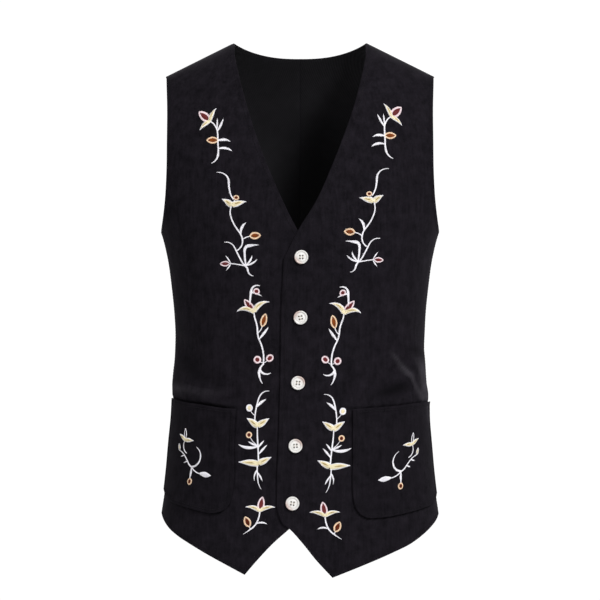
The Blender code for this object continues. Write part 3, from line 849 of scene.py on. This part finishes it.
def buttonDisc():
    disc = bmesh.new()
    radius, sides = button["across"] / 2, button["sides"]
    rings = []
    for share, height in button["profile"]:
        spots = [2 * math.pi * k / sides for k in range(sides if share else 1)]
        ring = [(math.cos(a) * share * radius, math.sin(a) * share * radius, height) for a in spots]
        rings.append([disc.verts.new(p) for p in ring])
    for low, high in zip(rings, rings[1:]):
        for k in range(sides):
            after = (k + 1) % sides
            corners = [low[k % len(low)], low[after % len(low)], high[after % len(high)], high[k % len(high)]]
            disc.faces.new(list(dict.fromkeys(corners)))
    bmesh.ops.recalc_face_normals(disc, faces=disc.faces)
    return disc


def makeButtonMesh(material):
    disc = objectOf("buttonBlank", buttonDisc())
    helpers = [disc]
    half, radius = button["holeSpacing"] / 2, button["hole"] / 2
    for x in (-half, half):
        for y in (-half, half):
            drill = bmesh.new()
            bmesh.ops.create_cone(
                drill,
                cap_ends=True,
                segments=button["holeSides"],
                radius1=radius,
                radius2=radius,
                depth=button["drillDepth"],
                matrix=Matrix.Translation((x, y, 0)),
            )
            helpers.append(objectOf("holeDrill", drill))
            cutter = disc.modifiers.new("hole", "BOOLEAN")
            cutter.operation = "DIFFERENCE"
            cutter.object = helpers[-1]
    bpy.context.view_layer.update()
    evaluated = disc.evaluated_get(bpy.context.evaluated_depsgraph_get())
    data = bpy.data.meshes.new_from_object(evaluated)
    for helper in helpers:
        bpy.data.objects.remove(helper)
    data.materials.clear()
    data.materials.append(material)
    data.shade_smooth()
    data.set_sharp_from_angle(angle=math.radians(button["sharpAngle"]))
    return data


def addTube(verts, faces, path, radius, sides):
    # closed round thread along a path
    path = np.array(path)
    start, count = len(verts), len(path)
    for k, here in enumerate(path):
        ahead = unit(path[min(k + 1, count - 1)] - path[max(k - 1, 0)])
        beside = unit(np.cross(ahead, [0, 0, 1] if abs(ahead[2]) < 0.9 else [1, 0, 0]))
        over = np.cross(beside, ahead)
        for angle in 2 * math.pi * np.arange(sides) / sides:
            verts.append(here + radius * (math.cos(angle) * beside + math.sin(angle) * over))
    for k in range(count - 1):
        for s in range(sides):
            a, b = start + k * sides + s, start + k * sides + (s + 1) % sides
            faces.append((a, b, b + sides, a + sides))
    faces.append(tuple(range(start, start + sides))[::-1])
    faces.append(tuple(range(start + (count - 1) * sides, start + count * sides)))


def sewingThreads():
    # two turns of thread over each pair of holes
    half, radius = button["holeSpacing"] / 2, button["threadRadius"]
    verts, faces = [], []
    for x in (-half, half):
        for shift in (-radius, radius):
            path = [(x + shift, inward - half, height) for inward, height in button["threadPath"]]
            path += [(place, -y, height) for place, y, height in path[::-1]]
            addTube(verts, faces, path, radius, button["threadSides"])
    return verts, faces


threadFinish = {
    # size in features per metre, detail and roughness
    "ply": (2600, 2, 0.6),
    "tone": (190, 2, 0.5),
    "colourBand": (0.35, 0.62),
    "bump": (0.3, 0.00012),
    "sheenRoughness": 0.35,
}


def threadMaterial(name, colour, shade, roughness=0.5, sheen=0.25, gloss=0.35):
    finish = {"Roughness": roughness, "Specular IOR Level": gloss, "Sheen Weight": sheen}
    finish["Sheen Roughness"] = threadFinish["sheenRoughness"]
    made, tree, shader, place = nodeMaterial(name, finish)
    ply = noiseNode(tree, place, *threadFinish["ply"])
    tone = times(tree, noiseNode(tree, place, *threadFinish["tone"]), 0.5)
    share = times(tree, ply, 0.5, tone)
    stops = tuple(zip(threadFinish["colourBand"], (shade, colour)))
    feed(tree, shader.inputs["Base Color"], rampNode(tree, share, stops))
    addBump(tree, shader, ply, *threadFinish["bump"])
    return made


buttonThread = threadMaterial("buttonThread", *button["thread"])
buttonMesh = makeButtonMesh(makeIvory("mottledIvory"))
for number, (x, height, lean) in enumerate(button["centres"], start=1):
    spot, normal = cloth(ontoForm(np.array([x]), np.array([height])), -1, button["lift"])
    face = Vector(normal[0])
    across = (Vector((1, 0, 0)) - face * face.x).normalized()
    turned = Matrix((across, face.cross(across), face)).transposed().to_4x4()
    piece = placeObject(f"frontButton{number}", buttonMesh.copy())
    spin = Matrix.Rotation(math.radians(lean), 4, "Z")
    piece.matrix_world = Matrix.Translation(Vector(spot[0])) @ turned @ spin
    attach(piece, "root")
    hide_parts(f"button_{number}")
    threads = placeMesh(f"buttonThread{number}", *sewingThreads(), [buttonThread])
    threads.matrix_world = piece.matrix_world
    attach(threads, "root")
print("buttons made")

# Topstitching: matching thread, a row of dashes inside the edges
topstitch = {
    "inset": 0.0052,
    "pocketInset": 0.0042,
    "cornerClear": 0.93,  # share of the inset that a stitch keeps from every edge
    "length": 0.0029,
    "gap": 0.0007,
    "uneven": 0.00008,
    "radius": 0.00026,
    "sides": 5,
    "dip": 0.00020,
    # share of a stitch's length, height as a share of the dip
    "arch": ((0, -1.0), (0.12, 0.35), (0.5, 1.0), (0.88, 0.35), (1, -1.0)),
    "thread": ((0.0085, 0.0075, 0.0098), (0.0050, 0.0042, 0.0058), 0.8, 0.04, 0.08),
}
topstitchThread = threadMaterial("topstitchThread", *topstitch["thread"])


def insetLines(sheet, inset, edges):
    # lines that run inside the chosen edges and stop at the corners
    rows, columns = sheet["size"]
    counts = {"hem": columns - 1, "outer": rows - 1, "top": columns - 1, "inner": rows - 1}
    owner = [name for name, count in counts.items() for k in range(count)]
    rim = sheet["rim"]
    moved = rim - sheet["away"] * inset
    lines, line = [], []
    for k in list(range(len(rim))) * 2:
        clear = np.sqrt(((rim - moved[k]) ** 2).sum(axis=1).min()) > topstitch["cornerClear"] * inset
        if owner[k] in edges and clear:
            line.append(moved[k])
        elif line:
            lines.append(line)
            line = []
    lines.append(line)
    # going round twice finds each line once whole
    found = {}
    for line in lines:
        if len(line) > 3:
            key = tuple(np.round(line[-1], 6))
            if key not in found or len(found[key]) < len(line):
                found[key] = line
    return [np.array(line) for line in found.values()]


def sewLines(name, sheet, inset, edges):
    lines = insetLines(sheet, inset, edges)
    verts, faces = [], []
    pitch = topstitch["length"] + topstitch["gap"]
    for line in lines:
        keys = runAlong(line)
        for number in range(int(keys[-1] / pitch)):
            start = number * pitch + 0.5 * topstitch["gap"] + dice.normal(0, topstitch["uneven"])
            path = []
            for share, height in topstitch["arch"]:
                at = np.clip(start + share * topstitch["length"], 0, keys[-1])
                spot = Vector([np.interp(at, keys, line[:, k]) for k in range(3)])
                hit, face = sheet["surface"].find_nearest(spot)[:2]
                path.append(hit + face * topstitch["dip"] * height)
            addTube(verts, faces, path, topstitch["radius"], topstitch["sides"])
    piece = placeMesh(name, verts, faces, [topstitchThread])
    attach(piece, "root")
    print(name, len(lines), "lines")


for name, sheet in (("leftFrontTopstitch", leftSheet), ("rightFrontTopstitch", rightSheet)):
    sewLines(name, sheet, topstitch["inset"], ("hem", "outer", "inner"))
for name, sheet in (("leftBackTopstitch", leftBackSheet), ("rightBackTopstitch", rightBackSheet)):
    sewLines(name, sheet, topstitch["inset"], ("hem", "outer", "top"))
for name, sheet in (("leftPocketTopstitch", leftPocketSheet), ("rightPocketTopstitch", rightPocketSheet)):
    sewLines(name, sheet, topstitch["pocketInset"], ("hem", "outer", "inner", "top"))

# Embroidery: every shape is a band of satin stitches along a curve, in millimetres on the cloth
stitch = {
    "pitch": 0.46,
    "threadWidth": 0.60,
    "threadHeight": 0.24,
    "spread": -0.50,  # the thread's own width stands past each end
    "sink": 0.12,
    "narrowest": 0.35,
    "height": (0.10, 0.10, 0.55),  # bare, more for each millimetre of width, and at most
    "ropeWidth": 2.3,  # a band narrower than this is laid as slanted rope stitch
    "ropeSlant": 0.9,
    "slant": 0.22,
    "uneven": 0.05,
    "shares": (0.0, 0.14, 0.5, 0.86, 1.0),  # places along a stitch
    "shoulder": 0.62,  # its height at the second and the fourth of them
    "reach": 0.02,  # metres from the form in which the cloth is looked for
}
# colour and shade, then roughness, sheen and gloss where they differ
threadColours = {
    "white": ((0.96, 0.945, 0.98), (0.78, 0.765, 0.82)),
    "cream": ((0.91, 0.83, 0.60), (0.75, 0.66, 0.42)),
    "gold": ((0.46, 0.33, 0.11), (0.34, 0.23, 0.07)),
    "red": ((0.190, 0.030, 0.031), (0.110, 0.016, 0.018), 0.6, 0.05, 0.14),
    "rust": ((0.260, 0.062, 0.005), (0.165, 0.036, 0.004), 0.6, 0.05, 0.14),
    "umber": ((0.135, 0.020, 0.002), (0.080, 0.011, 0.002), 0.6, 0.04, 0.12),
    "peach": ((0.93, 0.71, 0.50), (0.78, 0.55, 0.36)),
    "pink": ((0.93, 0.79, 0.82), (0.78, 0.62, 0.66)),
    "black": ((0.0150, 0.0130, 0.0170), (0.0060, 0.0050, 0.0070)),
}
threadOrder = list(threadColours)
threadMaterials = [threadMaterial(name + "Thread", *threadColours[name]) for name in threadOrder]
# widths from a shape's start to its tip, as shares of its full width
profiles = {
    "leafStalk": (1.0, 0.85),
    "budStalk": (1.0, 1.0),
    "berryStalk": (1.0, 0.8),
    "leaf": (0.45, 0.85, 1.0, 0.8, 0.12),
    "curl": (1.0, 0.95, 0.8, 0.55, 0.3),
    "loop": (0.8, 1.0, 0.8),
    "sepal": (0.75, 1.0, 0.85, 0.52, 0.10),
    "sepalMiddle": (0.62, 0.80, 0.70, 0.52, 0.18),
    "sepalVein": (0.08, 0.22, 0.22, 0.08),
    "budCore": (0.3, 0.85, 1.0, 0.8, 0.2),
    "budRim": (0.8, 1.0, 1.0, 1.0, 0.6),
    "berryCore": (0.2, 0.8, 1.0, 0.8, 0.2),
}
blossom = {
    "stalkWidths": {"leaf": 1.9, "bud": 1.5, "berry": 1.4},
    "middleLift": 0.26,
    "veinLift": 0.66,
    "rimLift": 0.12,
    "budRim": 0.27,  # shares of the whole width
    "berryRim": 0.29,
    "budGap": 1.4,  # the core is narrower than the bud by so many rims
    "berryFill": 0.95,  # share of the ring's middle line that the core fills
    "berryStep": 30,  # degrees
    "budOutline": ((0.0, 0.12), (0.14, 0.62), (0.38, 1.0), (0.64, 0.88), (0.86, 0.48), (1.0, 0.0)),
    "budCore": (0.16, 0.30, 0.50, 0.70, 0.84),
    "berryCore": (-0.95, -0.6, 0.0, 0.6, 0.95),
}


def band(points, widths, thread, lift=0.0):
    return {"points": points, "widths": widths, "thread": thread, "lift": lift}


# heading in degrees: 0 points out to the side seam, 90 up, 180 to the front edge
def sweep(start, heading, length, turn, count=7):
    # even steps along a curve that turns by the same angle at each step
    angles = np.radians(heading + turn * (np.arange(count - 1) + 0.5) / (count - 1))
    moves = np.stack([np.cos(angles), np.sin(angles)], axis=1) * length / (count - 1)
    start = np.array(start, float)
    return np.concatenate([[start], start + np.cumsum(moves, axis=0)])


def tapered(points, width, profile, thread="white", lift=0.0):
    profile = profiles[profile]
    shares = np.interp(np.linspace(0, 1, len(points)), np.linspace(0, 1, len(profile)), profile)
    return band(points, list(width * shares), thread, lift)


def stalked(kind, start, heading, stalk, turn):
    # the stalk, if there is one, and the spot where it ends
    if not stalk:
        return [], np.array(start, float)
    points = sweep(start, heading - turn, stalk, turn)
    return [tapered(points, blossom["stalkWidths"][kind], kind + "Stalk")], points[-1]


def aheadAndBeside(heading):
    ahead = np.array([math.cos(math.radians(heading)), math.sin(math.radians(heading))])
    return ahead, np.array([-ahead[1], ahead[0]])


def leaf(start, heading, length, turn, width, stalk=0.0):
    rows, start = stalked("leaf", start, heading, stalk, turn)
    points = sweep(start, heading, length, 0 if stalk else turn)
    return rows + [tapered(points, width, "leaf")]


def curl(start, heading, length, turn, width):
    return [tapered(sweep(start, heading, length, turn), width, "curl")]


def loop(start, heading, length, turn, width):
    # an open leaf drawn as an outline
    bows = [sweep(start, heading + bow / 2, length, -bow) for bow in (turn, -turn)]
    return [tapered(points, width, "loop") for points in bows]


def sepals(start, heading, length, turn, width, spread, both=(1, 1)):
    # two pointed sepals either side of a bud: pale edge, cream middle, thin gold vein
    rows = []
    for sign, size in zip((1, -1), both):
        points = sweep(start, heading + sign * spread, length * size, sign * turn)
        rows.append(tapered(points, width, "sepal"))
        rows.append(tapered(points[:6], width, "sepalMiddle", "cream", blossom["middleLift"]))
        rows.append(tapered(points[1:5], width, "sepalVein", "gold", blossom["veinLift"]))
    return rows


def bud(start, heading, length, turn, width, core, rim, stalk=0.0):
    # a pointed bud with its core inside an outline, on a stalk
    rows, base = stalked("bud", start, heading, stalk, turn)
    ahead, beside = aheadAndBeside(heading)
    rimWidth = blossom["budRim"] * width
    middle = [base + ahead * length * share for share in blossom["budCore"]]
    rows.append(tapered(middle, width - blossom["budGap"] * rimWidth, "budCore", core))
    for half in ((rimWidth - width) / 2, (width - rimWidth) / 2):
        outline = blossom["budOutline"]
        points = [base + ahead * length * share + beside * half * out for share, out in outline]
        rows.append(tapered(points, rimWidth, "budRim", rim, blossom["rimLift"]))
    return rows


def berry(start, heading, stalk, turn, across, core, rim, long=1.0):
    # a round berry with its core inside a ring, on a stalk
    rows, base = stalked("berry", start, heading, stalk, turn)
    ahead, beside = aheadAndBeside(heading)
    rimWidth = blossom["berryRim"] * across
    ring = (across - rimWidth) / 2
    centre = base + ahead * (ring * long + rimWidth * 0.3)
    inner = ring * blossom["berryFill"]
    points = [centre + ahead * inner * long * share for share in blossom["berryCore"]]
    rows.append(tapered(points, 2 * inner, "berryCore", core))
    angles = np.radians(np.arange(0, 361, blossom["berryStep"]))
    points = [centre + ring * (long * math.cos(a) * ahead + math.sin(a) * beside) for a in angles]
    rows.append(band(points, [rimWidth] * len(points), rim, blossom["rimLift"]))
    return rows


shapes = {"leaf": leaf, "curl": curl, "sepals": sepals, "bud": bud, "berry": berry, "loop": loop}


def grow(stems):
    # walk each stem from its top, then set its shoots at their share of its length
    rows = []
    for start, heading, stretches, stemWidths, *shoots in stems:
        points, widths, lengths = [np.array(start, float)], [stemWidths[0]], [0.0]
        for (length, turn), width in zip(stretches, stemWidths[1:]):
            widths += list(np.interp((0.25, 0.5, 0.75, 1.0), (0, 1), (widths[-1], width)))
            lengths += [lengths[-1] + length * k / 4 for k in (1, 2, 3, 4)]
            points += list(sweep(points[-1], heading, length, turn, 5)[1:])
            heading += turn
        rows.append(band(points, widths, "white"))
        shares = np.array(lengths) / lengths[-1]
        for kind, share, *sizes in shoots:
            spot = [np.interp(share, shares, [p[k] for p in points]) for k in (0, 1)]
            rows += shapes[kind](spot, *sizes)
    return rows


# A sprig is a few stems, in millimetres and degrees. Each stem: start, heading, length and turn
# of each stretch from the top down, the widths between them, then its shoots. Each shoot: kind,
# share down the stem, heading, length, turn, width, then what the shape takes; a berry has its
# stalk's length and turn.
sprigs = {
    "chest": (
        (
            (13, 24), -150, ((20, 60), (18, -2), (8, 12), (14, 62)), (1.7, 2.2, 2.3, 3.2, 1.0),
            ("bud", 0.0, 38, 18, 0, 11.5, "red", "pink"), ("sepals", 0.0, 38, 18, 34, 6.2, 62),
            ("leaf", 0.25, 92, 15, 0, 2.6), ("leaf", 0.28, 122, 18, -14, 3.2),
            ("bud", 0.46, 0, 14, 0, 9, "rust", "peach"), ("leaf", 0.47, 155, 16, 60, 3.4),
            ("leaf", 0.47, 168, 10, 24, 2.6), ("leaf", 0.64, 160, 18, 60, 3.6),
        ),
    ),
    "breast": (
        ((15, 65), 175, ((19, 95), (13, -10), (10, -22)), (1.0, 2.7, 2.0, 1.8)),
        (
            (0, 24), -65, ((14, -35), (20, -22), (12, 32), (14, 60)), (1.5, 2.0, 2.2, 2.2, 1.8),
            ("sepals", 0.0, 100, 15, 24, 8.5, 50, (1.05, 0.85)),
            ("berry", 0.0, 118, 8, 0, 6.5, "umber", "peach"), ("leaf", 0.64, 85, 18, 60, 3.3),
            ("bud", 0.74, 172, 11, 35, 9.5, "rust", "peach", 10),
        ),
        (
            (13, -21), 170, ((15, 78), (18, -5), (8, -20), (6, 40), (10, -75)),
            (1.1, 2.0, 2.3, 2.5, 2.7, 1.0), ("leaf", 0.7, 150, 16, -55, 2.8),
            ("leaf", 0.7, 175, 17, -50, 2.8),
        ),
        (
            (8, -47), 186, ((19, 6),), (1.5, 1.8), ("bud", 0.0, -4, 12, 0, 7.0, "red", "pink"),
            ("leaf", 0.1, 62, 12, -10, 2.1), ("leaf", 0.1, -58, 11, 10, 2.1),
        ),
        ((-12, -51), 80, ((20, 12), (8, 78), (11, 8)), (2.0, 3.3, 4.4, 0.8)),
    ),
    "waist": (
        (
            (-4, 48), 20, ((14, -100), (22, -4)), (1.2, 3.4, 2.2),
            ("berry", 0.42, 172, 3, -20, 8.5, "red", "pink"), ("leaf", 0.46, 178, 14, 40, 2.4),
        ),
        (
            (4, 16), -85, ((10, -25), (14, 20), (12, -25), (30, 32)), (1.8, 2.4, 2.6, 2.4, 2.4),
            ("bud", 0.0, 52, 19, 0, 9.5, "red", "pink"), ("sepals", 0.0, 74, 24, 78, 7.4, 34),
            ("bud", 0.4, 105, 16, -40, 8.5, "rust", "peach", 10), ("leaf", 0.52, 130, 19, -6, 3.6),
            ("berry", 0.97, 35, 4, 30, 10, "red", "pink"),
            ("berry", 0.97, 135, 5, -30, 9, "red", "pink", 1.25),
        ),
        ((-7, -48), -40, ((12, -50), (14, -35)), (2.0, 3.8, 1.0), ("curl", 0.3, -110, 16, -105, 3.4)),
    ),
    "hip": (
        (
            (-12, 60), 5, ((16, -75), (30, -20)), (1.0, 2.3, 1.9), ("leaf", 0.62, 128, 16, 25, 3.8),
            ("berry", 0.84, 62, 8, 35, 9.5, "cream", "white"),
        ),
        (
            (2, 17), -88, ((16, -8), (30, 4)), (1.6, 2.2, 2.2), ("sepals", 0.0, 90, 17, 8, 9.0, 52),
            ("berry", 0.52, 60, 14, 30, 8.5, "umber", "peach"), ("leaf", 0.54, -20, 26, 50, 4.2),
            ("leaf", 0.54, 20, 14, 10, 3.0), ("leaf", 0.58, 125, 12, 5, 2.8),
            ("leaf", 0.76, 128, 16, 5, 3.2), ("sepals", 1.0, 78, 24, 8, 9.0, 70, (0.72, 1.05)),
        ),
        (
            (1, -30), -92, ((18, -4), (13, -28)), (2.0, 1.8, 0.9), ("curl", 0.22, -50, 14, -55, 2.6),
            ("leaf", 0.3, -128, 13, 15, 2.6),
        ),
    ),
    "hem": (
        (
            (0, 5), -90, ((12, 20), (12, 32), (13, 8)), (1.8, 2.4, 2.2, 0.9),
            ("bud", 0.0, 98, 17, 0, 9.5, "red", "pink"), ("sepals", 0.0, 90, 20, 50, 6.2, 52),
            ("leaf", 0.46, 150, 15, 62, 2.8), ("bud", 0.72, 62, 13, -25, 9.5, "umber", "peach", 4),
        ),
    ),
    "pocket": (
        (
            (7, 17), -40, ((10, -70), (10, -50)), (1.5, 1.8, 1.3), ("loop", 0.0, 82, 15, 60, 1.6),
            ("sepals", 0.0, 105, 15, 10, 6.0, 72),
        ),
        (
            (17, 4), -165, ((13, 30), (11, 10), (8, -35)), (1.4, 1.8, 2.0, 2.3),
            ("bud", 0.0, 70, 9, 0, 5.0, "cream", "white"), ("leaf", 0.36, -15, 7, 0, 2.1),
            ("leaf", 0.66, -20, 7, 0, 2.1), ("curl", 1.0, 178, 34, -150, 3.0),
            ("leaf", 1.0, -172, 15, -45, 7.0, 16), ("leaf", 1.0, -86, 15, 4, 3.4),
            ("berry", 1.0, -84, 14, 4, 8, "umber", "peach", 1.15),
        ),
    ),
}


def smoothBand(row):
    points, widths = np.array(row["points"], float), np.array(row["widths"], float)
    keys = runAlong(points)
    count = max(int(round(keys[-1] / stitch["pitch"])), 3)
    at = (np.arange(count) + 0.5) / count * keys[-1]
    centre = smoothThrough(keys, points, at)
    width = np.maximum(smoothThrough(keys, widths, at), stitch["narrowest"])
    return centre, width, unit(np.gradient(centre, axis=0))


# spot: where a sprig's own centre lies, out from the middle and height, in metres
def ontoCloth(flat, spot, side, lean, surface):
    middle = math.asin(spot[0] / float(section("halfWidth", np.array([spot[1]]))[0]))
    small = 1e-4
    ends = [bareForm(np.array([middle + d, downTo(middle, spot[1])]), -1) for d in (-small, small)]
    radius = np.linalg.norm((ends[1] - ends[0])[:2]) / (2 * small)
    out = flat[:, 0] + lean * flat[:, 1]
    turn = (middle + out / 1000 / radius) * side
    height = spot[1] + flat[:, 1] / 1000
    cut = np.stack([turn, downTo(turn, height)], axis=-1)
    base, normal = bareForm(cut, -1), outward(cut, -1)
    for k in range(len(base)):
        start = Vector(base[k] + normal[k] * stitch["reach"])
        hit, face = surface.ray_cast(start, Vector(-normal[k]), 2 * stitch["reach"])[:2]
        if hit is not None:
            base[k] = hit
            normal[k] = face if face.dot(Vector(normal[k])) > 0 else -face
    return base, normal


def layStitches(rows, spot, side, lean, surface):
    starts, ends, heights, kinds, lifts = [], [], [], [], []
    bare, more, most = stitch["height"]
    for row in rows:
        centre, width, ahead = smoothBand(row)
        beside = np.stack([-ahead[:, 1], ahead[:, 0]], axis=1)
        slant = np.where(width < stitch["ropeWidth"], stitch["ropeSlant"], stitch["slant"])[:, None]
        reach = (beside + ahead * slant) * ((width + stitch["spread"]) / 2)[:, None]
        starts.append(centre + reach + dice.normal(0, stitch["uneven"], reach.shape))
        ends.append(centre - reach + dice.normal(0, stitch["uneven"], reach.shape))
        heights.append(np.minimum(bare + more * width, most))
        lifts.append(np.full(len(width), row["lift"]))
        kinds += [threadOrder.index(row["thread"])] * len(width)
    start, end = np.concatenate(starts), np.concatenate(ends)
    height, lift = np.concatenate(heights), np.concatenate(lifts)
    shares = np.array(stitch["shares"])
    arch = np.array([-stitch["sink"], stitch["shoulder"], 1.0, stitch["shoulder"], -stitch["sink"]])
    path = start[:, None] + (end - start)[:, None] * shares[None, :, None]
    base, normal = ontoCloth(path.reshape(-1, 2), spot, side, lean, surface)
    rise = (height[:, None] * arch[None] + lift[:, None]).reshape(-1, 1) / 1000
    spine = (base + normal * rise).reshape(-1, len(shares), 3)
    normal = normal.reshape(spine.shape)
    beside = np.cross(np.gradient(spine, axis=1), normal)
    beside /= np.maximum(np.linalg.norm(beside, axis=2, keepdims=True), 1e-9)
    half, tall = stitch["threadWidth"] / 2000, stitch["threadHeight"] / 1000
    ring = np.stack([spine - beside * half, spine + normal * tall, spine + beside * half], axis=2)
    return ring.reshape(-1, 3), kinds


def makeEmbroidery(name, jobs, side, surface):
    laid = [layStitches(rows, spot, side, lean, surface) for rows, spot, lean in jobs]
    kinds = [kind for jobVerts, jobKinds in laid for kind in jobKinds]
    # each stitch is a bent three-sided bar with closed ends
    last = 3 * (len(stitch["shares"]) - 1)
    pattern = []
    for ring in range(0, last, 3):
        for a, b in ((ring, ring + 1), (ring + 1, ring + 2), (ring + 2, ring)):
            pattern.append((a, b, b + 3, a + 3))
    pattern += [(2, 1, 0), (last, last + 1, last + 2)]
    faces = [tuple((last + 3) * k + i for i in face) for k in range(len(kinds)) for face in pattern]
    faceKinds = [kind for kind in kinds for face in pattern]
    verts = np.concatenate([jobVerts for jobVerts, jobKinds in laid])
    piece = placeMesh(name, verts, faces, threadMaterials, faceKinds)
    builder = bmesh.new()
    builder.from_mesh(piece.data)
    bmesh.ops.recalc_face_normals(builder, faces=builder.faces)
    builder.to_mesh(piece.data)
    builder.free()
    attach(piece, "root")
    print(name, len(kinds), "stitches")


# each piece: its side and sheet, then each sprig with its place out from the middle, height and lean
sprigPlaces = {
    "rightFrontEmbroidery": (
        -1, rightSheet,
        ("chest", 0.0977, -0.1033, 0), ("breast", 0.0816, -0.2082, -0.060), ("waist", 0.0520, -0.3306, 0),
        ("hip", 0.0508, -0.4713, 0), ("hem", 0.0495, -0.5628, 0),
    ),
    "leftFrontEmbroidery": (
        1, leftSheet,
        ("chest", 0.1010, -0.0975, -0.084), ("breast", 0.0878, -0.2035, -0.045),
        ("waist", 0.0484, -0.3324, 0.065), ("hip", 0.0386, -0.4755, 0.060), ("hem", 0.0307, -0.5689, 0),
    ),
    "rightPocketEmbroidery": (-1, rightPocketSheet, ("pocket", 0.1364, -0.4899, 0)),
    "leftPocketEmbroidery": (1, leftPocketSheet, ("pocket", 0.1302, -0.4950, 0.20)),
}
for name, (side, sheet, *places) in sprigPlaces.items():
    jobs = [(grow(sprigs[kind]), (out, height), lean) for kind, out, height, lean in places]
    makeEmbroidery(name, jobs, side, sheet["surface"])

# Worked buttonholes behind the buttons: a slit between two close rows, barred at its ends
buttonhole = {"length": 15.5, "rowWidth": 1.5, "apart": 1.9, "bar": 3.2, "barWidth": 1.4, "barLift": 0.1}


def buttonholeRows():
    end, row, bar = buttonhole["length"] / 2, buttonhole["apart"] / 2, buttonhole["bar"] / 2
    widths, barWidths = [buttonhole["rowWidth"]] * 3, [buttonhole["barWidth"]] * 3
    rows = [band([(-end, y), (0, y), (end, y)], widths, "black") for y in (-row, row)]
    bars = [[(x, -bar), (x, 0), (x, bar)] for x in (-end, end)]
    return rows + [band(points, barWidths, "black", buttonhole["barLift"]) for points in bars]


holes = [(buttonholeRows(), (x, height), 0) for x, height, lean in button["centres"]]
makeEmbroidery("buttonholes", holes, 1, leftSheet["surface"])

# Studio: pale floor that fades into a white room, soft lights and the camera
studio = {
    "floorHeight": -1.05,
    "floorRadius": 2.6,
    "floorSides": 96,
    "floorFade": ((0.35, (1, 1, 1)), (0.95, (0, 0, 0))),
    "paper": ((0.3, (0.8865, 0.8865, 0.8865)), (0.7, (0.90, 0.90, 0.90))),
    "speck": (40, 3),
    "paperFinish": {"Roughness": 0.9, "Specular IOR Level": 0.1},
    "roomLight": 0.26,
    "roomSeen": 1.05,
    "cameraHeight": -0.300,
    "cameraDistance": 5.0,
    "lens": 240,
    "sensor": 36,
    "farthest": 30,
    # where from, aimed at, width, power
    "lamps": (
        ((1.9, -2.7, 2.3), (0, 0, -0.3), 0.9, 162),
        ((-2.4, -3.2, 0.7), (0, 0, -0.3), 2.0, 34),
        ((0.0, 2.6, 2.2), (0, 0, -0.2), 2.4, 60),
    ),
}


def makeFloor():
    disc = bmesh.new()
    bmesh.ops.create_circle(disc, cap_ends=True, segments=studio["floorSides"], radius=studio["floorRadius"])
    floor = objectOf("studioFloor", disc)
    floor.location = (0, 0, studio["floorHeight"])
    made, tree, shader, place = nodeMaterial("paperFloor", studio["paperFinish"])
    speck = noiseNode(tree, place, *studio["speck"])
    feed(tree, shader.inputs["Base Color"], rampNode(tree, speck, studio["paper"]))
    length = addNode(tree, "VectorMath", "Value", {0: place}, operation="LENGTH")
    share = mathNode(tree, "DIVIDE", length, studio["floorRadius"])
    feed(tree, shader.inputs["Alpha"], rampNode(tree, share, studio["floorFade"]))
    floor.data.materials.append(made)


def makeRoom():
    room = bpy.data.worlds.new("whiteRoom")
    bpy.context.scene.world = room
    room.use_nodes = True
    tree = room.node_tree
    lit = tree.nodes["Background"]
    lit.inputs["Color"].default_value = (1, 1, 1, 1)
    lit.inputs["Strength"].default_value = studio["roomLight"]
    seen = addNode(tree, "Background", 0, {"Color": (1, 1, 1), "Strength": studio["roomSeen"]})
    straight = addNode(tree, "LightPath", "Is Camera Ray", {})
    mixed = addNode(tree, "MixShader", 0, {0: straight, 1: lit.outputs[0], 2: seen})
    feed(tree, tree.nodes["World Output"].inputs["Surface"], mixed)


makeFloor()
makeRoom()
for number, (where, target, width, power) in enumerate(studio["lamps"], start=1):
    data = bpy.data.lights.new(f"softbox{number}", "AREA")
    data.shape = "SQUARE"
    data.size = width
    data.energy = power
    lamp = placeObject(f"softbox{number}", data)
    lamp.location = where
    lamp.rotation_euler = (Vector(target) - lamp.location).to_track_quat("-Z", "Y").to_euler()

lens = bpy.data.cameras.new("photoCamera")
lens.lens = studio["lens"]
lens.sensor_width = studio["sensor"]
lens.clip_end = studio["farthest"]
camera = placeObject("photoCamera", lens)
camera.location = (0, -studio["cameraDistance"], studio["cameraHeight"])
camera.rotation_euler = (quarterTurn, 0, 0)
bpy.context.scene.camera = camera
bpy.context.scene.view_settings.view_transform = "Standard"
print("studio ready")
